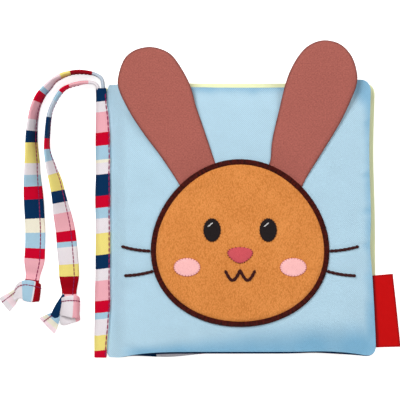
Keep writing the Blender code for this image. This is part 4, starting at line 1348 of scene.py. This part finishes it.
# Head: plush patch with a satin-stitch border, sewn on the front cover
headSettings = {
    "x": 2.5 * mm, "y": -11.5 * mm, "width": 84 * mm, "height": 79 * mm, "full": 0.10, "cells": 120,
    "plush": 1.0 * mm, "tuft": 0.05 * mm, "hollow": (0.30 * mm, 12 * mm, 4.0), "lift": 0.08 * mm,
    "tufts": ((1.0, 1.0, 1.5 * mm, 3.0), (0.6, 0.6, 0.8 * mm, 8.0)),    # share, stretch, size and seed
    "give": 0.8,                # share of an ear root's rise that the plush follows
    "borderWide": 1.45 * mm, "borderHigh": 1.0 * mm, "borderOut": 1.0 * mm, "borderLift": 0.35 * mm,
    "borderSteps": 1240, "borderSides": 12, "satinPitch": 0.42 * mm, "earLift": 1.0 * mm,
}


def headEdge(way, grow=0.0):
    s, turn = headSettings, 2 * math.pi * way
    return (s["x"] - (s["width"] / 2 + grow) * math.sin(turn) * (1 + s["full"] * math.cos(turn)),
            s["y"] - (s["height"] / 2 + grow) * math.cos(turn))


# Ears: outlines in mm from the root round to the other end of the root
earSettings = {
    "left": {
        "edge": ((-29.4, 20.2), (-33.6, 26.6), (-38.5, 33.7), (-45.7, 43.2), (-52.8, 54.2), (-58.2, 65.7),
                 (-57.9, 73.4), (-54.8, 81.0), (-49.0, 85.2), (-40.9, 86.3), (-32.4, 83.0), (-26.5, 75.3),
                 (-22.2, 66.7), (-19.4, 56.6), (-15.5, 45.2), (-10.6, 30.6)),
        "root": ((-26.4, 15.2), (-8.6, 24.8)), "seed": 2.0,
    },
    "right": {
        "edge": ((17.4, 29.0), (18.3, 38.5), (19.8, 46.0), (21.5, 53.0), (25.2, 68.2), (29.0, 77.6),
                 (34.4, 85.2), (40.6, 89.0), (47.0, 89.6), (53.4, 87.2), (58.4, 81.4), (60.7, 74.2),
                 (60.8, 68.4), (58.5, 61.5), (52.4, 48.5), (43.6, 34.0), (36.0, 21.8)),
        "root": ((14.6, 25.0), (32.8, 15.4)), "seed": 5.0,
    },
    "cells": 64, "rows": 90, "rimSteps": 200, "thick": 1.5 * mm, "rootThick": 0.75 * mm, "puff": 0.3 * mm,
    "lower": 0.42,              # share of the thickness under the seam
    "apart": 0.05 * mm, "blendStart": 6.6 * mm, "blendEnd": 11.0 * mm, "level": 16.7 * mm,
    # seam is how far in from the edge the painted seam shadow reaches
    "ground": 0.10 * mm, "levelReach": (5 * mm, 34 * mm), "rootReach": (16 * mm, 3 * mm), "seam": 0.7 * mm,
    "tipReach": 70 * mm, "bodyReach": 2.6 * mm, "bodyPower": 0.6,
    "ripples": ((0.34 * mm, 9 * mm, 0), (0.14 * mm, 3.6 * mm, 4)),      # depth, size and seed
    "folds": (0.12 * mm, 26, 10 * mm, 5 * mm),          # depth, count, place and reach
    "puckers": (0.10 * mm, 1.6 * mm, 1.4 * mm, 1.6 * mm),       # depth, size, place and reach
    "sway": (0.33 * mm, 9 * mm), "swayReach": (24 * mm, 72 * mm), "hem": 0.2 * mm,
    "pushReach": 4.2 * mm, "pushFrom": (-0.02, 0.12), "pushTo": (1.02, 0.88),
}


# How far an ear's root pushes up the border that is sewn over it
def earRootLift(x, y):
    lift = 0.0
    for side in ("left", "right"):
        a, b = (Vector(p) * mm for p in earSettings[side]["root"])
        share = max(0.0, min(1.0, (Vector((x, y)) - a).dot(b - a) / (b - a).length_squared))
        away = (Vector((x, y)) - a.lerp(b, share)).length
        ends = smooth(*earSettings["pushFrom"], share) * smooth(*earSettings["pushTo"], share)
        lift = max(lift, bell(away, earSettings["pushReach"]) * ends)
    return headSettings["earLift"] * lift


def middleOf(outline):
    return sum((Vector(outline(k / 8)) for k in range(8)), Vector((0, 0))) / 8


# Place in a cut piece from grid coordinates, and how near its edge it is
def ringPlace(outline, u, v):
    centre = middleOf(outline)
    level = max(abs(u), abs(v))
    if level < 1e-9:
        return centre, 0.0
    a, b = u / level, v / level
    if a >= 1.0:
        way = (b + 1.0) / 8
    elif b >= 1.0:
        way = (3.0 - a) / 8
    elif a <= -1.0:
        way = (5.0 - b) / 8
    else:
        way = (7.0 + a) / 8
    return centre + (Vector(outline(way % 1.0)) - centre) * level, level


# A cut piece that lies lift over the front cover's cloth
def makePatch(name, outline, cells, lift, thickAt, material, sharp=50):
    spots = {}
    for j in range(cells + 1):
        for i in range(cells + 1):
            (x, y), level = ringPlace(outline, 2 * i / cells - 1, 2 * j / cells - 1)
            spots[i, j] = (x, y, coverTop(x, y) + lift(x, y), level)

    def top(i, j):
        x, y, z, level = spots[i, j]
        return x, y, z + thickAt(x, y, level)

    mesh = gridShell(name, cells, cells, top, lambda i, j: spots[i, j][:3],
                     lambda i, j: spots[i, j][:2], sharp)
    return link(name, mesh, cloth[material])


def plushHollow(x, y):
    deep, size, seed = headSettings["hollow"]
    return deep * bumpy(x, y, size, seed)


def plushThick(x, y, level):
    s = headSettings
    tufts = sum(share * bumpy(x, y * stretch, size, seed) for share, stretch, size, seed in s["tufts"])
    edge = smooth(1.0, 0.955, level)
    return s["plush"] * (0.45 + 0.75 * edge) + (s["tuft"] * tufts + plushHollow(x, y)) * edge


# Height of the plush over the cover's cloth, for the pieces sewn on it
def headSurface(x, y):
    return headSettings["plush"] * 1.2 + plushHollow(x, y) + headSettings["tuft"]


def makeHead():
    s = headSettings
    patch = makePatch("headPatch", headEdge, s["cells"],
                      lambda x, y: s["lift"] + s["give"] * earRootLift(x, y), plushThick, "plush", 180)
    finishPiece(patch, "front_cover", "tan_plush", "head_patch")
    ring, steps, sides = [], s["borderSteps"], s["borderSides"]
    for k in range(steps):
        x, y = headEdge(k / steps, s["borderOut"])
        ring.append(Vector((x, y, coverTop(x, y) + s["borderLift"] + earRootLift(x, y))))
    stitches = round(lengthsAlong(ring + ring[:1])[-1] / s["satinPitch"])
    turns = [2 * math.pi * n / sides for n in range(sides)]

    def section(k):
        ridge = abs(math.sin(math.pi * stitches * k / steps))
        wide = s["borderWide"] * (1 + 0.06 * bumpy(k * 0.2, 0, 1.0, 2.0)) * (0.90 + 0.10 * ridge)
        high = s["borderHigh"] * (0.86 + 0.14 * ridge)
        return [(wide * math.cos(turn), high * max(-0.35, math.sin(turn))) for turn in turns]

    verts, faces, places = sweep(ring, section, closed=True)
    places = [(math.cos(turns[n % sides]) * s["borderWide"], along) for n, (along, _) in enumerate(places)]
    border = link("headBorder", meshFrom("headBorder", verts, faces, places, sharp=80), cloth["satin"])
    finishPiece(border, "front_cover", "maroon_thread", "head_border")


def oval(x, y, width, height):
    def outline(way):
        turn = 2 * math.pi * way
        return x + width / 2 * math.cos(turn), y + height / 2 * math.sin(turn)
    return outline


# Face: felt pieces and embroidered lines. x, y, width and height are from the head's middle
faceSettings = {
    "eye": (14.0 * mm, 6.5 * mm, 8.5 * mm, 11.5 * mm), "cheek": (26.5 * mm, -12.0 * mm, 13 * mm, 9 * mm),
    "nose": (-6.0 * mm, 12 * mm, 8 * mm, 0.35), "noseFull": 0.35 * mm, "felt": 0.6 * mm, "cells": 28,
    "lint": (0.05 * mm, 0.9 * mm, 2.0), "glintRadius": 0.32 * mm, "glintBow": 0.08 * mm,
    "glints": ((-1.4 * mm, 2.2 * mm), (-0.4 * mm, 3.1 * mm)), "glintHalf": (0.8 * mm, 0.5 * mm),
    "mouth": (13.5 * mm, 7.5 * mm, 5 * mm), "mouthSteps": 80,
    "thread": 0.74 * mm, "threadSit": 0.45, "threadFade": 0.8 * mm, "stemPitch": 2.2 * mm,
    "whisker": {"rise": -9 * mm, "spacing": 10 * mm, "length": 15 * mm, "fan": 9, "clear": 1.9 * mm,
                "start": 0.5 * mm, "bow": 0.5 * mm, "steps": 40},
    "whip": {"inset": 0.55 * mm, "outset": 0.45 * mm, "sink": 0.15 * mm, "radius": 0.17 * mm,
             "bow": 0.16 * mm},
}
bothSides = (("left", -1), ("right", 1))


def feltThick(x, y, level):
    deep, size, seed = faceSettings["lint"]
    return faceSettings["felt"] * (0.75 + 0.55 * (1 - level ** 3)) + deep * bumpy(x, y, size, seed)


def noseThick(x, y, level):
    return feltThick(x, y, level) + faceSettings["noseFull"] * (1 - level ** 2)


# Small stitches over the edge of a felt piece, down into the plush
def whipStitches(name, outline, count, material, slot):
    s, parts, centre = faceSettings["whip"], [], middleOf(outline)
    for k in range(count):
        edge = Vector(outline(k / count))
        out = (edge - centre).normalized()
        a, b = edge - out * s["inset"], edge + out * s["outset"]
        start = Vector((*a, coverTop(*a) + headSurface(*a) + faceSettings["felt"] * 0.95))
        end = Vector((*b, coverTop(*b) + headSurface(*b) - s["sink"]))
        parts.append(capsule(start, end, s["radius"], s["bow"]))
    finishPiece(link(name, meshFrom(name, *gather(parts)), cloth[material]), "front_cover", slot)


# Thick embroidered line in stem stitch: it swells and thins with every stitch
def threadLine(name, route, node):
    s, lengths = faceSettings, lengthsAlong(route)

    def section(k):
        fade = min(1.0, 0.25 + min(lengths[k], lengths[-1] - lengths[k]) / s["threadFade"])
        swell = 0.84 + 0.26 * abs(math.sin(math.pi * lengths[k] / s["stemPitch"]))
        return roundSection(s["thread"] * swell * fade, 10, 0.8)

    line = link(name, meshFrom(name, *sweep(route, section), sharp=70), cloth["maroon"])
    finishPiece(line, "front_cover", "maroon_thread", node)


def makeEye(side, way):
    s = faceSettings
    x, y, wide, high = s["eye"]
    x, y = headSettings["x"] + way * x, headSettings["y"] + y
    outline = oval(x, y, wide, high)
    piece = makePatch(side + "Eye", outline, s["cells"], headSurface, feltThick, "dark")
    finishPiece(piece, "front_cover", "dark_felt", side + "_eye")
    whipStitches(side + "EyeStitches", outline, 22, "maroon", "maroon_thread")
    parts, half = [], Vector((*s["glintHalf"], 0))
    for right, up in s["glints"]:
        spot = Vector((x + right, y + up, 0))
        spot.z = coverTop(spot.x, spot.y) + headSurface(spot.x, spot.y) + s["felt"] * 1.28
        parts.append(capsule(spot - half, spot + half, s["glintRadius"], s["glintBow"], 8, 8))
    name = side + "EyeGlint"
    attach(link(name, meshFrom(name, *gather(parts)), cloth["whiteThread"]), "front_cover")


def makeCheek(side, way):
    s = faceSettings
    x, y, wide, high = s["cheek"]
    outline = oval(headSettings["x"] + way * x, headSettings["y"] + y, wide, high)
    piece = makePatch(side + "Cheek", outline, s["cells"], headSurface, feltThick, "pink")
    finishPiece(piece, "front_cover", "pink_felt", side + "_cheek")
    whipStitches(side + "CheekStitches", outline, 26, "pinkThread", "pink_felt")


def makeNose():
    s, head = faceSettings, headSettings
    y, wide, high, pinch = s["nose"]

    def noseEdge(way):
        turn = 2 * math.pi * way
        return (head["x"] + wide / 2 * math.cos(turn) * (1 + pinch * math.sin(turn)),
                head["y"] + y + high / 2 * math.sin(turn))

    piece = makePatch("noseFelt", noseEdge, s["cells"], headSurface, noseThick, "rose")
    finishPiece(piece, "front_cover", "rose_felt", "nose")
    whipStitches("noseStitches", noseEdge, 24, "maroon", "maroon_thread")


def makeMouth():
    s, route = faceSettings, []
    drop, wide, deep = s["mouth"]
    for k in range(s["mouthSteps"] + 1):
        share = 2 * k / s["mouthSteps"] - 1
        x = headSettings["x"] + share * wide
        y = headSettings["y"] - drop - deep * math.sin(math.pi * abs(share))
        route.append(Vector((x, y, coverTop(x, y) + headSurface(x, y) + s["thread"] * s["threadSit"])))
    threadLine("mouthThread", route, "mouth")


def makeWhisker(side, way, place, step):
    s, own, head = faceSettings, faceSettings["whisker"], headSettings
    startY = head["y"] + own["rise"] + step * own["spacing"]
    rim = min((headEdge(k / 720, own["clear"]) for k in range(720)),
              key=lambda p: abs(p[1] - startY) + (1.0 if (p[0] - head["x"]) * way < 0 else 0.0))
    turn, route = math.radians(2 * step * own["fan"]), []
    for k in range(own["steps"] + 1):
        share = k / own["steps"]
        x = rim[0] + way * (own["length"] * share * math.cos(turn) + own["start"])
        y = startY + own["length"] * share * math.sin(turn) - own["bow"] * math.sin(math.pi * share)
        route.append(Vector((x, y, coverTop(x, y) + s["thread"] * s["threadSit"])))
    threadLine(side + place.capitalize() + "Whisker", route, side + "_" + place + "_whisker")


def makeFace():
    for side, way in bothSides:
        makeEye(side, way)
        makeCheek(side, way)
    makeNose()
    makeMouth()
    for side, way in bothSides:
        makeWhisker(side, way, "upper", 0.5)
        makeWhisker(side, way, "lower", -0.5)


# Even points on a smooth curve through points given in mm
def evenCurve(points, count):
    curve = smoothRoute([Vector((x, y, 0)) * mm for x, y in points], 0.2 * mm)
    out = []
    for n in range(count + 1):
        at = (len(curve) - 1) * n / count
        k = min(int(at), len(curve) - 2)
        out.append(curve[k].lerp(curve[k + 1], at - k).to_2d())
    return out


# A turned flap of two cloths with film between, sewn in under the head's border
def makeEar(side):
    s, own = earSettings, earSettings[side]
    count, rows, half = s["cells"], s["rows"], s["rimSteps"] // 2
    rootA, rootB = (Vector(p) * mm for p in own["root"])
    rim = evenCurve((own["root"][0], *own["edge"], own["root"][1]), 2 * half)
    rootLine = (rootB - rootA).normalized()
    outward = Vector((-rootLine.y, rootLine.x))

    # Rows run from the root to the tip and columns across
    def plan(i, j):
        share, across = j / rows, i / count
        k = min(int(share * half), half - 1)
        fraction = share * half - k
        left = rim[k].lerp(rim[k + 1], fraction)
        right = rim[-1 - k].lerp(rim[-2 - k], fraction)
        return left.lerp(right, across), across, share, (right - left).length

    def unevenness(place, across, distance, near):
        rough = sum(deep * bumpy(*place, size, own["seed"] + more) for deep, size, more in s["ripples"])
        deep, number, at, reach = s["folds"]
        rough += deep * math.sin(across * number + 1.3 * own["seed"]) * bell(distance - at, reach)
        deep, size, at, reach = s["puckers"]
        return rough + deep * bumpy(*place, size, own["seed"]) * bell(near - at, reach)

    def heights(i, j):
        place, across, share, wide = plan(i, j)
        distance = (place - rootA).dot(outward)
        near = min(min(across, 1 - across) * wide, (1 - share) * s["tipReach"])
        rootNear = smooth(*s["rootReach"], distance)
        body = smooth(0.0, s["bodyReach"], near) ** s["bodyPower"]
        ground = coverTop(*place) + s["ground"]
        ground = max(ground, ground + (s["level"] - ground) * smooth(*s["levelReach"], distance))
        deep, long = s["sway"]
        sway = 1 + math.sin(place.x / long + own["seed"])
        base = ground + deep * smooth(*s["swayReach"], distance) * sway
        thick = s["thick"] + (s["rootThick"] - s["thick"]) * rootNear
        full = s["lower"] * thick + s["puff"] + unevenness(place, across, distance, near)
        bottom = base + thick * s["lower"] * (1 - body)
        top = base + thick * (1 - s["lower"]) + full * body * (1 - rootNear)
        middle = (bottom * 0.55 + top * 0.45) if near > s["hem"] else (bottom + top) / 2
        return place, bottom, middle, top

    grid = {(i, j): heights(i, j) for j in range(rows + 1) for i in range(count + 1)}

    def flat(i, j):
        return grid[i, j][0][:]

    front = gridShell(side + "EarFront", count, rows, lambda i, j: (*flat(i, j), grid[i, j][3]),
                      lambda i, j: (*flat(i, j), grid[i, j][2] + s["apart"]), flat, 70)
    back = gridShell(side + "EarBack", count, rows, lambda i, j: (*flat(i, j), grid[i, j][2] - s["apart"]),
                     lambda i, j: (*flat(i, j), grid[i, j][1]), flat, 70)
    edge = KDTree(len(rim))
    for n, point in enumerate(rim):
        edge.insert((*point, 0), n)
    edge.balance()
    pieces = [link(mesh.name, mesh, cloth["ear"]) for mesh in (front, back)]
    for piece, node in zip(pieces, ("_ear_front_cloth", "_ear_back_cloth")):
        # Painted seam shadow: the cloth darkens towards the ear's edge
        paintShade(piece.data, lambda vertex: bell(edge.find((vertex.co.x, vertex.co.y, 0))[2], s["seam"]))
        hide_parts(side + node)
        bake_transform(piece)
    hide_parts(side + "_ear_crinkle_film")


labelSettings = {
    "root": 69.6 * mm, "hidden": 4.3 * mm, "wide": 11.2 * mm, "tall": 36 * mm, "turn": 3.2, "flare": 0.085,
    "sink": -0.5 * mm, "fold": 0.42 * mm, "cloth": 0.14 * mm, "bend": 0.16, "columns": 48, "rows": 60,
    "hinge": 70.4 * mm, "turnReach": 1.3 * mm, "curl": 0.5 * mm, "ripple": (0.10 * mm, 5 * mm, 4.0),
    "pinch": (0.62, 1.3 * mm), "spread": 0.02,
    # painted shade: the cover edge's shadow along the seam and shade at the fold; darker also at both hems
    "paintedShade": (0.6 * mm, 0.8 * mm), "foldShade": (0.45, 1.1 * mm, 0.2 * mm),
    "hemShade": (0.35, 0.9 * mm, 0.1 * mm),
}


# Woven ribbon folded in two, with its ends sewn into the fore edge
def makeLabel():
    s = labelSettings
    lowest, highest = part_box("label_tab")
    middle, level = (lowest.y + highest.y) / 2, (lowest.z + highest.z) / 2
    wide, tall, hidden, fold = s["wide"], s["tall"], s["hidden"], s["fold"]
    near, profile = (1 - s["bend"]) / 2, []
    for k in range(s["columns"] + 1):
        share = k / s["columns"]
        bend = math.pi * max(0.0, min(1.0, (share - near) / s["bend"]))
        straight = min(1.0, share / near, (1 - share) / near)
        run = -hidden + (wide + hidden - fold) * straight + fold * math.sin(bend)
        profile.append((run, math.cos(bend), math.sin(bend), share))

    def flare(y):
        return 1 - s["flare"] * 2 * y / tall

    def at(i, j, grow):
        run, up, out, _ = profile[i]
        y = tall * (j / s["rows"] - 0.5)
        away = max(0.0, run) / wide
        deep, size, seed = s["ripple"]
        curl = s["curl"] * away ** 2 * math.sin(y / tall * 3.0 + 0.6)
        curl += deep * bumpy(run, y, size, seed) * away
        held, reach = s["pinch"]
        z = (fold + grow) * up * (1 - held * bell(max(0.0, run), reach))
        place = Vector(((run + grow * out) * flare(y), y * (1 + s["spread"] * away)))
        place.rotate(Matrix.Rotation(math.radians(s["turn"]), 2))
        return s["root"] + place.x, middle + s["sink"] + place.y, level + z + curl

    # Painted shade on the label: the cover's shadow along the seam, shade at the fold, and darker hems
    def labelShadeAt(vertex):
        place = Vector((vertex.co.x - s["root"], vertex.co.y - middle - s["sink"]))
        place.rotate(Matrix.Rotation(-math.radians(s["turn"]), 2))
        run = place.x / flare(place.y)
        seamAt, seamReach = s["paintedShade"]
        foldDeep, *foldReach = s["foldShade"]
        hemDeep, *hemReach = s["hemShade"]
        return max(bell(max(0.0, run - seamAt), seamReach), foldDeep * smooth(*foldReach, wide - run),
                   hemDeep * smooth(*hemReach, tall / 2 - abs(place.y)))

    mesh = gridShell("wovenLabel", s["columns"], s["rows"], lambda i, j: at(i, j, s["cloth"]),
                     lambda i, j: at(i, j, -s["cloth"]),
                     lambda i, j: (profile[i][3] * 2 * wide, tall * j / s["rows"]), 60)
    paintShade(mesh, labelShadeAt)
    label = link("wovenLabel", mesh, cloth["label"])
    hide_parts("label_tab")
    out = Vector((1, 0, 0)) * s["turnReach"]
    out.rotate(Matrix.Rotation(math.radians(s["turn"]), 3, "Z"))
    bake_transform(label)


makeHead()
makeFace()
print("head and face made")
for side in ("left", "right"):
    makeEar(side)
makeLabel()
print("ears and label made")


# Wadding and film keep their solids and get their own finish
def dressHidden():
    for name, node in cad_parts.items():
        for finish in ("wadding", "film"):
            if name.endswith(finish):
                node.data.materials.clear()
                node.data.materials.append(cloth[finish])


def makeFloor():
    s, mesh = lightSettings, bpy.data.meshes.new("floor")
    corners = [(x * s["floorHalf"], y * s["floorHalf"], 0) for x, y in ((-1, -1), (1, -1), (1, 1), (-1, 1))]
    mesh.from_pydata(corners, [], [(0, 1, 2, 3)])
    material, tree, shader = startMaterial("paleFloor", 0.9)
    shader.inputs["Base Color"].default_value = s["floorColour"]
    shader.inputs["Emission Color"].default_value = (1, 1, 1, 1)
    seen = addNode(tree, "LightPath").outputs["Is Camera Ray"]
    tree.links.new(times(tree, seen, s["floorLift"]), shader.inputs["Emission Strength"])
    floor = link("floor", mesh, material)
    floor.location.z = -s["floorSink"]


dressHidden()
makeFloor()
print("scene ready")
